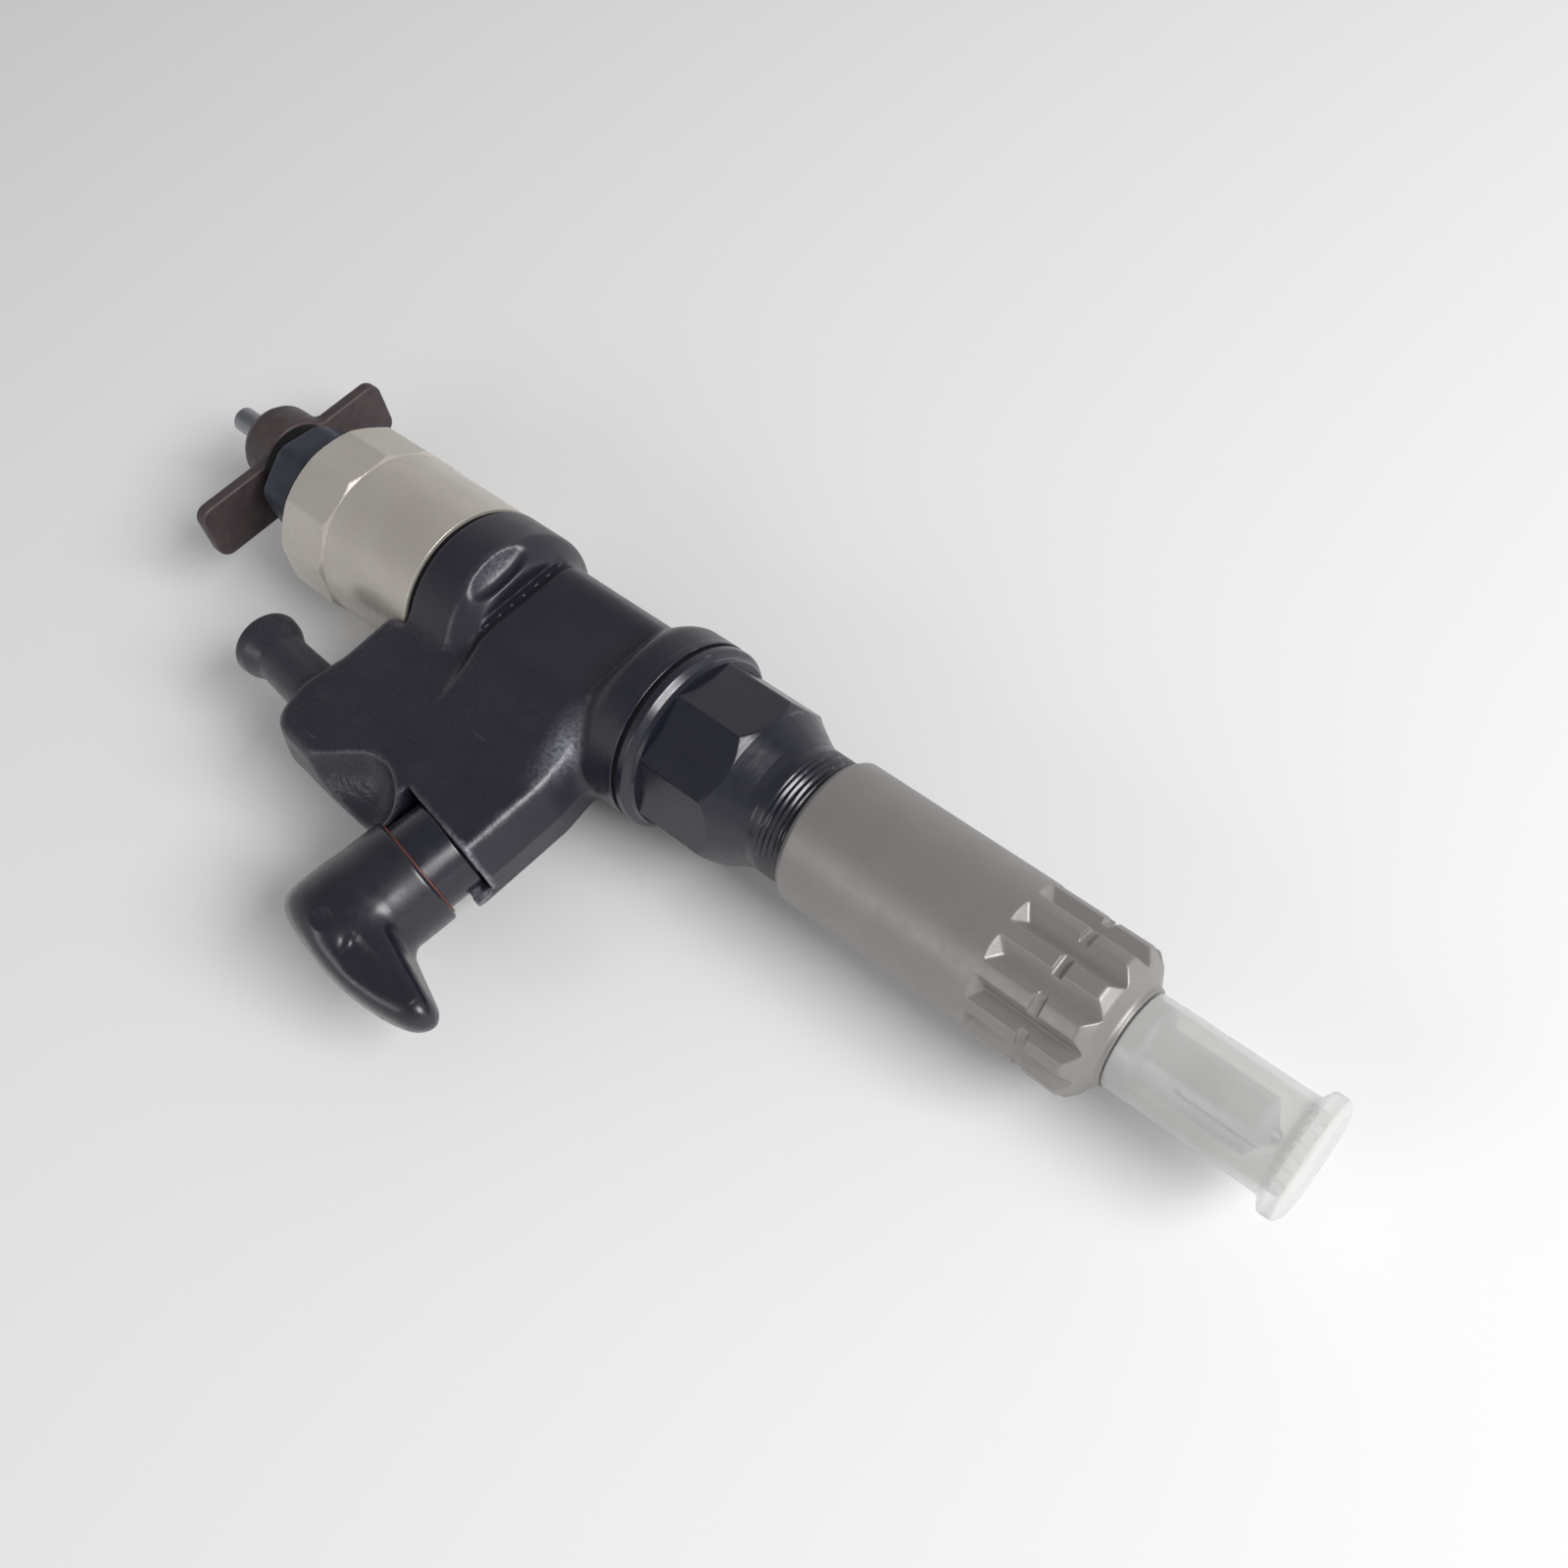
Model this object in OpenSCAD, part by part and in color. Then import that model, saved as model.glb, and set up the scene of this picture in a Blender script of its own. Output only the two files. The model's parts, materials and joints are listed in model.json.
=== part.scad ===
// Common-rail diesel injector with a side inlet arm, lying on its side.
// +X runs along the main axis towards the nozzle, the inlet arm points to -Y and +Z is up.
// The origin is on the main axis, in the middle of the nozzle retaining nut's plain barrel.
// Lengths are in millimetres. A station is a distance along X from the origin.

/* [Nozzle end] */
// Outer diameter of the nozzle retaining nut
nut_d = 19; // [18.8:0.1:19.2]
// Number of drive splines round the nut's end
spline_count = 12; // [8:1:12]
// Depth of the grooves between the splines
spline_depth = 1.3; // [0.9:0.1:1.4]
// Diameter of the nozzle stem that enters the combustion chamber
stem_d = 7; // [6.8:0.1:7.2]
// Outer diameter of the protective tube over the nozzle
nozzle_cap_d = 11.7; // [11.6:0.1:11.9]
// Diameter of the gripping rim on the protective tube
nozzle_cap_rim_d = 14.4; // [14:0.1:15]

/* [Body] */
// Diameter of the flange that locates in the cylinder head
flange_d = 25; // [24.9:0.1:25.2]
// Diameter of the forged collar next to the solenoid nut
collar_d = 24.6; // [24.5:0.1:24.9]
// Diameter of the waist between the collar and the flange
waist_d = 20.1; // [20:0.1:20.6]
// Distance across the two flats of the fork clamp's seat
seat_across = 16; // [15.6:0.2:17]
// Diameter across the corners of the eight-sided section
octagon_d = 22.9; // [22.6:0.1:23.1]
// Diameter of the threaded neck that carries the nozzle nut
neck_d = 17; // [16.9:0.1:17.1]
// Thickness of the inlet arm
arm_t = 12; // [11.5:0.5:12.5]

/* [Inlet and leak-off] */
// Lean of the inlet away from square, towards the solenoid, in degrees
inlet_tilt = 8.7; // [8.3:0.1:9]
// Diameter of the inlet union
union_d = 12.4; // [12.3:0.1:12.5]
// Outer diameter of the inlet's protective cap
inlet_cap_d = 14.9; // [14.8:0.1:15.2]
// Reach of the cap's pull tab from the inlet axis
tab_reach = 18.5; // [17:0.5:19]
// Diameter of the leak-off nipple
nipple_d = 7.8; // [7.6:0.1:8]

/* [Solenoid end] */
// Diameter of the plain part of the solenoid nut
solenoid_nut_d = 24.3; // [24.2:0.1:24.5]
// Diameter across the corners of the solenoid nut's drive flats
solenoid_flats_d = 25.9; // [25.8:0.1:26.2]
// Number of drive flats
solenoid_flats = 12; // [6:6:12]
// Span of the two insulator wings, tip to tip
wing_span = 33.2; // [32:0.2:34]
// Diameter of the terminal stud
stud_d = 3.8; // [3.6:0.1:4]

/* [Hidden] */
$fn = 64;

// Stations along the main axis, from the solenoid end to the nozzle
x_stud_tip = -131.8;
x_hub_end = -124;
x_hub_shoulder = -122.2;
x_wing_back = -118.2;
x_wing_front = -116.2;
x_block_top = -112.2;
x_nut_top = -103;
x_nut_lip = -101;
x_housing_top = -99.5;
x_flats_end = -93.4;
x_core_face = -91.12;
x_armature_top = -91;
x_valve_top = -89;
x_nut_step = -88;
x_spigot_end = -86;
x_plate_top = -83;
x_plate_seat = -80;
x_nut_end = -76;
x_collar_back = -75;
x_collar_front = -68.1;
x_ledge = -66.8;
x_seat = -64.5;
x_waist = -63.9;
x_waist_end = -46.2;
x_seat_end = -45;
x_seat_runout = -41.5;
x_flange_back = -40.6;
x_groove = -36.9;
x_groove_end = -36.2;
x_flange_front = -35.1;
x_octagon = -33.2;
x_octagon_end = -24.4;
x_neck = -18.4;
x_spring_floor = -22;
x_nut_back = -13.5;
x_neck_end = 2;
x_distance_end = 8;
x_spline = 13.5;
x_nozzle_shoulder = 17;
x_spline_end = 26.3;
x_nut_front = 28.8;
x_shank_end = 31.5;
x_stem_end = 44.2;
x_stem_tip = 46.5;
x_cap_rim = 48.1;
x_cap_end = 50.6;

// Distances along the inlet axis from the main axis
s_boss = 28.5;
s_cap_ring = 33.2;
s_cap_mouth = 33.8;
s_union_end = 45.5;
s_cap_end = 49.8;

inlet_x = -46;              // where the inlet axis crosses the main axis
gallery_y = -6.3;           // high-pressure drilling, measured from the main axis
gallery_r = 1.1;
leak_yz = [-5, 5.4];        // leak-off drilling beside the main axis
nipple_yz = [-24.2, 0.5];   // centre line of the leak-off nipple
terminal_yz = [1.7, 0.4];   // centre line of the terminal stud
slip = 0.05;                // radial clearance of parts that slide or screw together
guide_gap = 0.03;           // radial clearance of the lapped guides

nut_r = nut_d / 2;
neck_r = neck_d / 2;
flange_r = flange_d / 2;
groove_r = flange_r - 0.75;         // floor of the seal ring's groove
collar_r = collar_d / 2;
waist_r = waist_d / 2;
seat_z = seat_across / 2;
octagon_r = octagon_d / 2;
octagon_flat_r = octagon_r * cos(22.5);
union_r = union_d / 2;
stud_core_r = stud_d / 2 - 0.5;    // plain shank of the stud inside the mouldings
union_spigot_r = 4.5;
needle_top = 8.3;           // station of the needle top, one lift below the distance piece
inlet_cap_r = inlet_cap_d / 2;
nozzle_cap_r = nozzle_cap_d / 2;
spigot_r = 10.5;
valve_bore_r = 8.6;
distance_r = 7.15;
shank_r = 5.15;
spring_chamber_r = 4;
piston_r = 2.5;
needle_r = 2;

// Shapes shared by several parts

// A solid of revolution about X, drawn as [station, radius] points
module turned(profile) {
    rotate([0, 90, 0]) rotate_extrude() polygon([for (p = profile) [p[1], p[0]]]);
}

// A round bar along X between two stations, off the axis by [y, z]
module bar(r, x0, x1, at = [0, 0]) {
    translate([x0, at[0], at[1]]) rotate([0, 90, 0]) cylinder(r = r, h = x1 - x0);
}

// A drilling of radius r from point a to point b
module drill(a, b, r) {
    v = b - a;
    translate(a)
        rotate([0, acos(v[2] / norm(v)), atan2(v[1], v[0])])
            cylinder(r = r, h = norm(v), $fn = 32);
}

module ring(outer_r, inner_r, x0, x1) {
    difference() {
        bar(outer_r, x0, x1);
        bar(inner_r, x0 - 1, x1 + 1);
    }
}

// Places children so that +X runs outwards along the inlet and +Y leans towards the nozzle
module on_inlet() {
    translate([inlet_x, 0, 0]) rotate([0, 0, -(90 + inlet_tilt)]) children();
}

function unit(v) = v / norm(v);

// The arc that rounds corner c between its neighbours a and b
function corner_arc(a, c, b, r, steps) =
    let (u = unit(a - c), w = unit(b - c), half = acos(u * w) / 2,
         m = c + unit(u + w) * r / sin(half),
         t1 = c + u * r / tan(half) - m, t2 = c + w * r / tan(half) - m,
         a1 = atan2(t1[1], t1[0]), turn = atan2(t1[0] * t2[1] - t1[1] * t2[0], t1 * t2))
    [for (i = [0:steps]) m + r * [cos(a1 + turn * i / steps), sin(a1 + turn * i / steps)]];

// An outline of [x, y, corner radius] points with every corner rounded
function rounded(pts) =
    let (n = len(pts))
    [for (i = [0:n - 1])
        let (a = pts[(i + n - 1) % n], c = pts[i], b = pts[(i + 1) % n])
        each corner_arc([a[0], a[1]], [c[0], c[1]], [b[0], b[1]], c[2], 5)];

// A helical spring about X, swept as rings of points
module spring(mean_r, wire_r, x0, x1, turns) {
    sides = 8;
    rings = turns * 14;
    length = x1 - x0 - 2 * wire_r;
    points = [for (i = [0:rings], j = [0:sides - 1])
        let (t = 360 * turns * i / rings, q = 360 * j / sides, r = mean_r + wire_r * cos(q))
        [x0 + wire_r + length * i / rings + wire_r * sin(q), r * cos(t), r * sin(t)]];
    walls = [for (i = [0:rings - 1], j = [0:sides - 1])
        let (k = (j + 1) % sides, a = i * sides, b = a + sides)
        each [[a + j, a + k, b + j], [a + k, b + k, b + j]]];
    start = [[for (j = [sides - 1:-1:0]) j]];
    end = [[for (j = [0:sides - 1]) rings * sides + j]];
    polyhedron(points = points, faces = concat(walls, start, end), convexity = 10);
}

// Injector body and the parts screwed or pressed into it

// Corners of the arm's outline, as [x, y, corner radius]
arm_outline = [[-43.8, -6, 1], [-41.4, -10, 3], [-42.2, -18, 8], [-43.4, -29.2, 1.5], [-55.6, -27.4, 0.8],
               [-56.4, -31.2, 1], [-70, -31.6, 1.5], [-79.4, -31.8, 3], [-81, -26, 3], [-79.8, -14, 3],
               [-75.2, -6, 1]];

module arm() {
    scoop_r = 6.6;
    difference() {
        translate([0, 0, -arm_t / 2]) linear_extrude(arm_t) polygon(rounded(arm_outline));
        bar(solenoid_nut_d / 2 + 0.5, -90, x_collar_back);
        bar(scoop_r, -69.5, -56.3, [-33, 7]);
    }
}

// The part of a turned profile that swells or narrows smoothly between two [station, radius] points
function eased(a, b, steps) =
    [for (i = [0:steps])
        let (t = i / steps)
        [a[0] + (b[0] - a[0]) * t, b[1] + (a[1] - b[1]) * (1 + cos(180 * t)) / 2]];

module body_turning() {
    turned(concat(
        [[x_spigot_end, 0], [x_spigot_end, spigot_r - 0.5], [x_spigot_end + 0.5, spigot_r],
         [x_collar_back, spigot_r], [x_collar_back, collar_r]],
        eased([x_collar_front, collar_r], [x_waist, waist_r], 6),
        eased([x_waist_end, waist_r], [x_flange_back, flange_r], 6),
        [[x_groove, flange_r], [x_groove, groove_r], [x_groove_end, groove_r], [x_groove_end, flange_r],
         [x_flange_front, flange_r - 0.1], [x_flange_front + 0.7, flange_r - 1],
         [x_octagon, octagon_r - 0.5],
         [x_octagon, octagon_flat_r], [x_octagon_end + 0.9, octagon_flat_r - 0.05],
         [-21.4, 9.7], [-19.9, 8.95], [x_neck, neck_r], [x_neck_end, neck_r], [x_neck_end, 0]]));
}

module octagon_section() {
    intersection() {
        rotate([0, 90, 0]) translate([0, 0, x_octagon]) cylinder(r = octagon_r, h = 12, $fn = 8);
        turned([[x_octagon, 0], [x_octagon, octagon_r], [x_octagon_end, octagon_r],
                [x_octagon_end + 1.5, octagon_flat_r - 0.3], [x_octagon_end + 2, 0]]);
    }
}

// What the fork clamp's seat takes away above the axis: a flat along the waist, leaned over a little,
// that runs out up the flange, a relief groove at its back, and a level ledge cut into the collar behind it
module clamp_seat() {
    lean = 7;
    cut_w = 18;
    clear_z = seat_z + 6;
    relief_z = seat_z - 1.2;
    relief_end = x_seat + 1.6;
    ledge_z = seat_z + 1.8;
    ledge_w = 14;
    rotate([90 - lean, 0, 0]) translate([0, 0, -cut_w / 2]) linear_extrude(cut_w)
        polygon([[x_seat, relief_z], [relief_end, relief_z], [relief_end, seat_z], [x_seat_end, seat_z],
                 [x_seat_runout, flange_r], [x_seat_runout, clear_z], [x_seat, clear_z]]);
    translate([x_ledge, -ledge_w / 2, ledge_z]) cube([x_seat - x_ledge + 0.1, ledge_w, 5]);
}

module thread_grooves(r, x0, x1, pitch) {
    for (x = [x0:pitch:x1])
        turned([[x - pitch * 0.35, r + 0.1], [x, r - pitch * 0.45], [x + pitch * 0.35, r + 0.1]]);
}

module injector_body() {
    inlet_depth = -gallery_y;
    color([0.16, 0.16, 0.2]) difference() {
        union() {
            body_turning();
            octagon_section();
            arm();
        }
        clamp_seat();
        rotate([180, 0, 0]) clamp_seat();
        thread_grooves(neck_r, -17, -14, 1);
        bar(valve_bore_r, x_spigot_end - 1, x_plate_seat);
        bar(piston_r + guide_gap, x_plate_seat - 1, -57);
        bar(piston_r + 0.4, -57.5, x_spring_floor + 1);
        bar(spring_chamber_r, x_spring_floor, x_neck_end + 1);
        bar(gallery_r, x_plate_seat - 1, x_neck_end + 1, [gallery_y, 0]);
        on_inlet() {
            bar(1.6, inlet_depth, s_boss);
            bar(union_spigot_r + slip, 20, s_boss + 3);
            translate([s_boss, -6.3, -10]) cube([8, 20, 20]);
        }
        bar(nipple_d / 2 - 1 + slip, -90, -74, nipple_yz);
        bar(1.2, -74.5, -72, nipple_yz);
        drill([-73.2, nipple_yz[0], nipple_yz[1]], [-73.2, leak_yz[0], leak_yz[1]], 1);
        bar(0.9, x_plate_seat - 1, -72.4, leak_yz);
    }
}

module inlet_union() {
    color([0.2, 0.2, 0.24]) on_inlet() difference() {
        union() {
            bar(union_spigot_r, 20.4, s_boss);
            turned([[s_boss, 0], [s_boss, union_r - 0.2], [s_boss + 0.2, union_r],
                    [s_union_end - 1, union_r],
                    [s_union_end, union_r - 1], [s_union_end, 0]]);
        }
        bar(1.6, 20, s_union_end + 1);
        bar(2.3, 30, s_union_end + 1);
        turned([[s_union_end - 2.2, 0], [s_union_end - 2.2, 2.3], [s_union_end + 0.1, 4.4],
                [s_union_end + 0.1, 0]]);
        thread_grooves(union_r, 36, 44, 1.5);
    }
}

module inlet_filter() {
    color([0.62, 0.62, 0.6]) on_inlet() difference() {
        turned([[30.2, 0], [30.2, 1.6], [30.8, 2.25], [42, 2.25], [42.5, 1.8], [42.5, 0]]);
        for (a = [0:60:300]) rotate([a, 0, 0]) bar(0.35, 31.5, 41.5, [2.25, 0]);
    }
}

module leak_off_nipple() {
    r = nipple_d / 2;
    color([0.17, 0.17, 0.2]) translate([0, nipple_yz[0], nipple_yz[1]]) difference() {
        turned([[-96.4, 0], [-96.4, r + 0.3], [-96, r + 0.9], [-95.2, r + 1.1], [-93.8, r + 0.5], [-92, r],
                [-81.2, r], [-81.2, r - 1], [-74, r - 1], [-74, 0]]);
        bar(2, -100, -70);
    }
}

module flange_seal_ring() {
    color([0.05, 0.05, 0.06]) ring(flange_r - 0.1, groove_r + slip, x_groove + 0.05, x_groove_end - 0.05);
}

module collar_seal_ring() {
    color([0.04, 0.04, 0.05]) ring(11.9, spigot_r + slip, x_nut_end + 0.05, x_collar_back - 0.05);
}

// Solenoid end

module solenoid_nut() {
    r = solenoid_nut_d / 2;
    flats_r = solenoid_flats_d / 2;
    lip_r = 8.9;
    color([0.68, 0.66, 0.63]) difference() {
        union() {
            turned([[x_nut_end, 0], [x_nut_end, r - 0.3], [x_nut_end - 0.3, r], [x_flats_end + 0.9, r],
                    [x_flats_end + 0.6, r - 0.4], [x_flats_end, r - 0.4], [x_flats_end, 0]]);
            intersection() {
                rotate([7, 0, 0]) rotate([0, 90, 0]) translate([0, 0, x_nut_top])
                    cylinder(r = flats_r, h = x_flats_end - x_nut_top, $fn = solenoid_flats);
                turned([[x_nut_top, 0], [x_nut_top, r - 0.3], [x_nut_top + 0.7, flats_r],
                        [x_flats_end, flats_r], [x_flats_end, 0]]);
            }
        }
        bar(spigot_r + slip, x_nut_step, x_nut_end + 1);
        bar(9.85, x_nut_lip, x_nut_step + 1);
        bar(lip_r, x_nut_top - 1, x_nut_lip + 1);
    }
}

module solenoid_housing() {
    color([0.5, 0.5, 0.5]) difference() {
        turned([[x_housing_top, 0], [x_housing_top, 9.8], [x_nut_step, 9.8], [x_nut_step, spigot_r],
                [x_spigot_end, spigot_r], [x_spigot_end, 0]]);
        bar(8.55, x_housing_top - 1, x_spigot_end + 1);
    }
}

module terminal_block() {
    color([0.17, 0.2, 0.25]) difference() {
        turned([[x_block_top, 0], [x_block_top, 7.9], [x_block_top + 0.6, 8.5], [x_nut_lip, 8.5],
                [x_nut_lip, 9.8], [x_housing_top, 9.8], [x_housing_top, 0]]);
        translate([x_block_top - 1, -20, -20]) cube([4.6, 12.4, 40]);
        bar(stud_core_r, x_block_top - 1, -105, terminal_yz);
        bar(3.2, -107, -105, terminal_yz);
        lead_holes();
    }
}

module terminal_seal() {
    color([0.05, 0.05, 0.06]) difference() {
        bar(6.7, x_wing_front, x_block_top, terminal_yz / 2);
        bar(stud_core_r, x_wing_front - 1, x_block_top + 1, terminal_yz);
    }
}

module terminal_insulator() {
    wing_w = 9;
    wing_lean = -5;
    hub_r = 6;
    wing_outline = [[-wing_span / 2, -wing_w / 2, 2], [wing_span / 2, -wing_w / 2, 2],
                    [wing_span / 2, wing_w / 2, 2], [-wing_span / 2, wing_w / 2, 2]];
    color([0.3, 0.23, 0.22]) difference() {
        union() {
            translate([x_wing_back, 0.4, 0]) rotate([wing_lean, 0, 0]) translate([0, 0, -0.5])
                rotate([90, 0, 90])
                linear_extrude(x_wing_front - x_wing_back) polygon(rounded(wing_outline));
            translate([0, terminal_yz[0], terminal_yz[1]])
                turned([[x_hub_end, 0], [x_hub_end, 4.3], [x_hub_end + 0.5, 5.1],
                        [x_hub_shoulder, hub_r - 0.1],
                        [x_wing_front, hub_r], [x_wing_front, 0]]);
        }
        bar(stud_core_r, x_hub_end - 1, x_wing_front + 1, terminal_yz);
    }
}

module terminal_stud() {
    color([0.75, 0.74, 0.72]) translate([0, terminal_yz[0], terminal_yz[1]])
        turned([[x_stud_tip, 0], [x_stud_tip, 1.5], [x_stud_tip + 0.5, stud_d / 2], [x_hub_end, stud_d / 2],
                [x_hub_end, stud_core_r], [-107, stud_core_r], [-107, 3.2], [-105, 3.2], [-105, 0]]);
}

// The two wires from the winding to the terminals, and the holes they pass through
module lead_pair(r) {
    for (side = [-1, 1]) bar(r, -107, -96, [0, side * 5.6]);
}

module lead_holes() {
    lead_pair(0.5 + slip);
}

module solenoid_core() {
    color([0.35, 0.35, 0.37]) difference() {
        bar(8.5, x_housing_top, x_core_face);
        difference() {
            bar(7, -97.5, x_core_face + 1);
            bar(4.2, -98, x_core_face + 2);
        }
        bar(2.2, -97.3, x_core_face + 1);
        lead_holes();
    }
}

module coil_bobbin() {
    color([0.75, 0.7, 0.55]) difference() {
        bar(6.9, -97.4, -91.4);
        bar(4.3, -98, -91);
        difference() {
            bar(8, -96.8, -92);
            bar(4.9, -97.5, -91);
        }
        lead_holes();
    }
}

module coil_winding() {
    wire = 0.6;
    color([0.72, 0.4, 0.2]) difference() {
        bar(6.8, -96.7, -92.1);
        bar(5, -97, -92);
        for (x = [-96.4:wire:-92.2]) turned([[x - 0.2, 6.9], [x, 6.6], [x + 0.2, 6.9]]);
        lead_holes();
    }
}

module coil_leads() {
    color([0.72, 0.4, 0.2]) lead_pair(0.5);
}

module air_gap_shim() {
    color([0.6, 0.6, 0.6]) ring(8.5, 7.5, x_core_face, x_valve_top);
}

module valve_spring_shim() {
    color([0.6, 0.6, 0.6]) bar(2.1, -97.3, -96.5);
}

module valve_spring() {
    color([0.55, 0.55, 0.56]) spring(1.5, 0.3, -96.48, x_armature_top - 0.02, 6);
}

module armature() {
    stem_r = 2;
    color([0.5, 0.5, 0.52]) difference() {
        union() {
            bar(7, x_armature_top, -89.6);
            bar(stem_r, -89.7, x_plate_top - 0.9);
        }
        for (a = [0:60:300]) rotate([a, 0, 0]) bar(0.8, -92, -89, [4.6, 0]);
        translate([x_plate_top - 0.75, 0, 0]) sphere(r = 0.75, $fn = 32);
    }
}

module valve_ball() {
    color([0.8, 0.8, 0.8]) translate([x_plate_top - 0.75, 0, 0]) sphere(r = 0.75, $fn = 32);
}

module valve_body() {
    color([0.55, 0.55, 0.56]) difference() {
        bar(8.5, x_valve_top, x_plate_top);
        bar(2 + guide_gap, x_valve_top - 1, x_plate_top + 1);
        bar(2.9, x_plate_top - 1.2, x_plate_top + 1);
        for (a = [75, 195, 285]) rotate([a, 0, 0]) bar(0.8, x_valve_top - 1, x_plate_top + 1, [5.5, 0]);
        orifice_dowels();
        drill([x_plate_top, 0, 0], [x_plate_top, leak_yz[0], leak_yz[1]], 0.5);
        bar(0.9, x_plate_top - 1.1, x_plate_top + 1, leak_yz);
    }
}

module orifice_plate() {
    color([0.6, 0.6, 0.62]) difference() {
        bar(8.5, x_plate_top, x_plate_seat);
        bar(0.3, x_plate_top - 1, x_plate_seat + 1);
        bar(0.9, x_plate_top - 1, x_plate_seat + 1, leak_yz);
        drill([x_plate_seat + 0.2, gallery_y, 0], [x_plate_seat + 0.2, -1.5, 0], 0.6);
        orifice_dowels();
    }
}

// Needle train

module command_piston() {
    color([0.72, 0.72, 0.72])
        turned([[-79.4, 0], [-79.4, 2.2], [-79.1, piston_r], [-60, piston_r], [-59.5, 2.2], [-2, 2.2],
                [-2, 0]]);
}

module spring_shim() {
    color([0.6, 0.6, 0.6]) ring(3.8, 2.5, x_spring_floor, -20.8);
}

module nozzle_spring() {
    color([0.5, 0.5, 0.51]) spring(3.15, 0.55, -20.78, -2.02, 7);
}

module pressure_pin() {
    color([0.65, 0.65, 0.66])
        turned([[-2, 0], [-2, 3.8], [0.3, 3.8], [0.3, 1.5], [needle_top, 1.5], [needle_top, 0]]);
}

// The pins that keep the drillings of two stacked parts in line
module nozzle_dowels() {
    for (side = [-1, 1]) bar(0.75, x_distance_end - 2, x_distance_end + 2, [side * 1.5, 5.2]);
}

module orifice_dowels() {
    for (side = [-1, 1]) bar(0.8, x_plate_top - 1.5, x_plate_top + 1.5, [5.5, side * 3]);
}

module distance_piece() {
    color([0.6, 0.6, 0.61]) difference() {
        bar(distance_r, x_neck_end, x_distance_end);
        bar(1.5 + slip, x_neck_end - 1, x_distance_end + 1);
        bar(gallery_r, x_neck_end - 1, x_distance_end + 1, [gallery_y + 0.6, 0]);
        nozzle_dowels();
    }
}

module locating_dowels() {
    color([0.7, 0.7, 0.7]) {
        nozzle_dowels();
        orifice_dowels();
    }
}

module nozzle_body() {
    color([0.55, 0.56, 0.58]) difference() {
        turned([[x_distance_end, 0], [x_distance_end, distance_r], [x_nozzle_shoulder, distance_r],
                [x_nozzle_shoulder, shank_r], [x_shank_end - 0.6, shank_r], [x_shank_end, stem_d / 2 + 0.8],
                [x_shank_end, stem_d / 2], [x_stem_end, stem_d / 2], [x_stem_tip - 0.9, 1.2],
                [x_stem_tip - 0.2, 0.7], [x_stem_tip, 0]]);
        bar(needle_r + guide_gap, x_distance_end - 1, 21);
        turned([[20, 0], [20.6, 3.2], [23.4, 3.2], [24.4, 1.75], [42.6, 1.75], [44.6, 0.5], [45.4, 0.4],
                [45.4, 0]]);
        drill([x_distance_end - 0.2, gallery_y + 0.6, 0], [21.5, -2.6, 0], 0.8);
        nozzle_dowels();
        for (a = [22.5:45:360]) rotate([a, 0, 0]) drill([44.9, 0, 0], [46.6, 2.2, 0], 0.12);
    }
}

module nozzle_needle() {
    color([0.75, 0.75, 0.76])
        turned([[needle_top, 0], [needle_top, 1.7], [needle_top + 0.3, needle_r], [20, needle_r],
                [20.8, 1.35], [43.2, 1.35], [44.6, 0.47], [44.9, 0]]);
}

module spline_groove() {
    half_w = 1.86;
    slope = 1.4;
    far = 3;
    r = nut_r;
    d = spline_depth;
    wide = half_w * (d + far) / d;
    intersection() {
        translate([0, 0, r - d]) rotate([90, 0, 90])
            linear_extrude(40) polygon([[0, 0], [wide, d + far], [-wide, d + far]]);
        translate([0, -6, 0]) rotate([90, 0, 0]) mirror([0, 0, 1]) linear_extrude(12)
            polygon([[x_spline + slope, r - d], [x_spline, r], [x_spline - 2 * slope, r + 2 * d],
                     [40, r + 2 * d], [40, r - d]]);
    }
}

module nozzle_nut() {
    r = nut_r;
    color([0.55, 0.54, 0.53]) difference() {
        turned([[x_nut_back, 0], [x_nut_back, r - 0.5], [x_nut_back + 0.5, r], [x_spline_end, r],
                [27.5, r - 0.7], [28.3, r - 1.8], [x_nut_front, r - 3.1], [x_nut_front, 0]]);
        bar(neck_r + slip, x_nut_back - 1, x_neck_end);
        bar(distance_r + slip, x_neck_end - 1, x_nozzle_shoulder);
        bar(shank_r + slip, x_nozzle_shoulder - 1, x_nut_front + 1);
        for (i = [0:spline_count - 1])
            rotate([4 + (i + 0.5) * 360 / spline_count, 0, 0]) spline_groove();
        turned([[20.2, r + 0.2], [20.2, r], [20.5, r - 0.5], [20.9, r - 0.65], [21.3, r - 0.5], [21.6, r],
                [21.6, r + 0.2]]);
    }
}

// Protective caps, which pull off before the injector is fitted

module nozzle_cap() {
    grip = 20;
    rim_r = nozzle_cap_rim_d / 2;
    color([0.85, 0.87, 0.88, 0.5]) difference() {
        union() {
            bar(nozzle_cap_r, x_nut_front + 0.15, x_cap_rim);
            turned([[x_cap_rim, 0], [x_cap_rim, rim_r - 0.3], [x_cap_rim + 0.3, rim_r],
                    [x_cap_end - 0.7, rim_r], [x_cap_end, rim_r - 0.9], [x_cap_end, 0]]);
        }
        bar(shank_r + slip, x_nut_front - 1, x_cap_end - 1.6);
        for (a = [0:360 / grip:359]) rotate([a, 0, 0])
            translate([x_cap_rim - 1, 0, rim_r - 0.25]) rotate([45, 0, 0]) cube([4, 0.6, 0.6]);
    }
}

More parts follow.
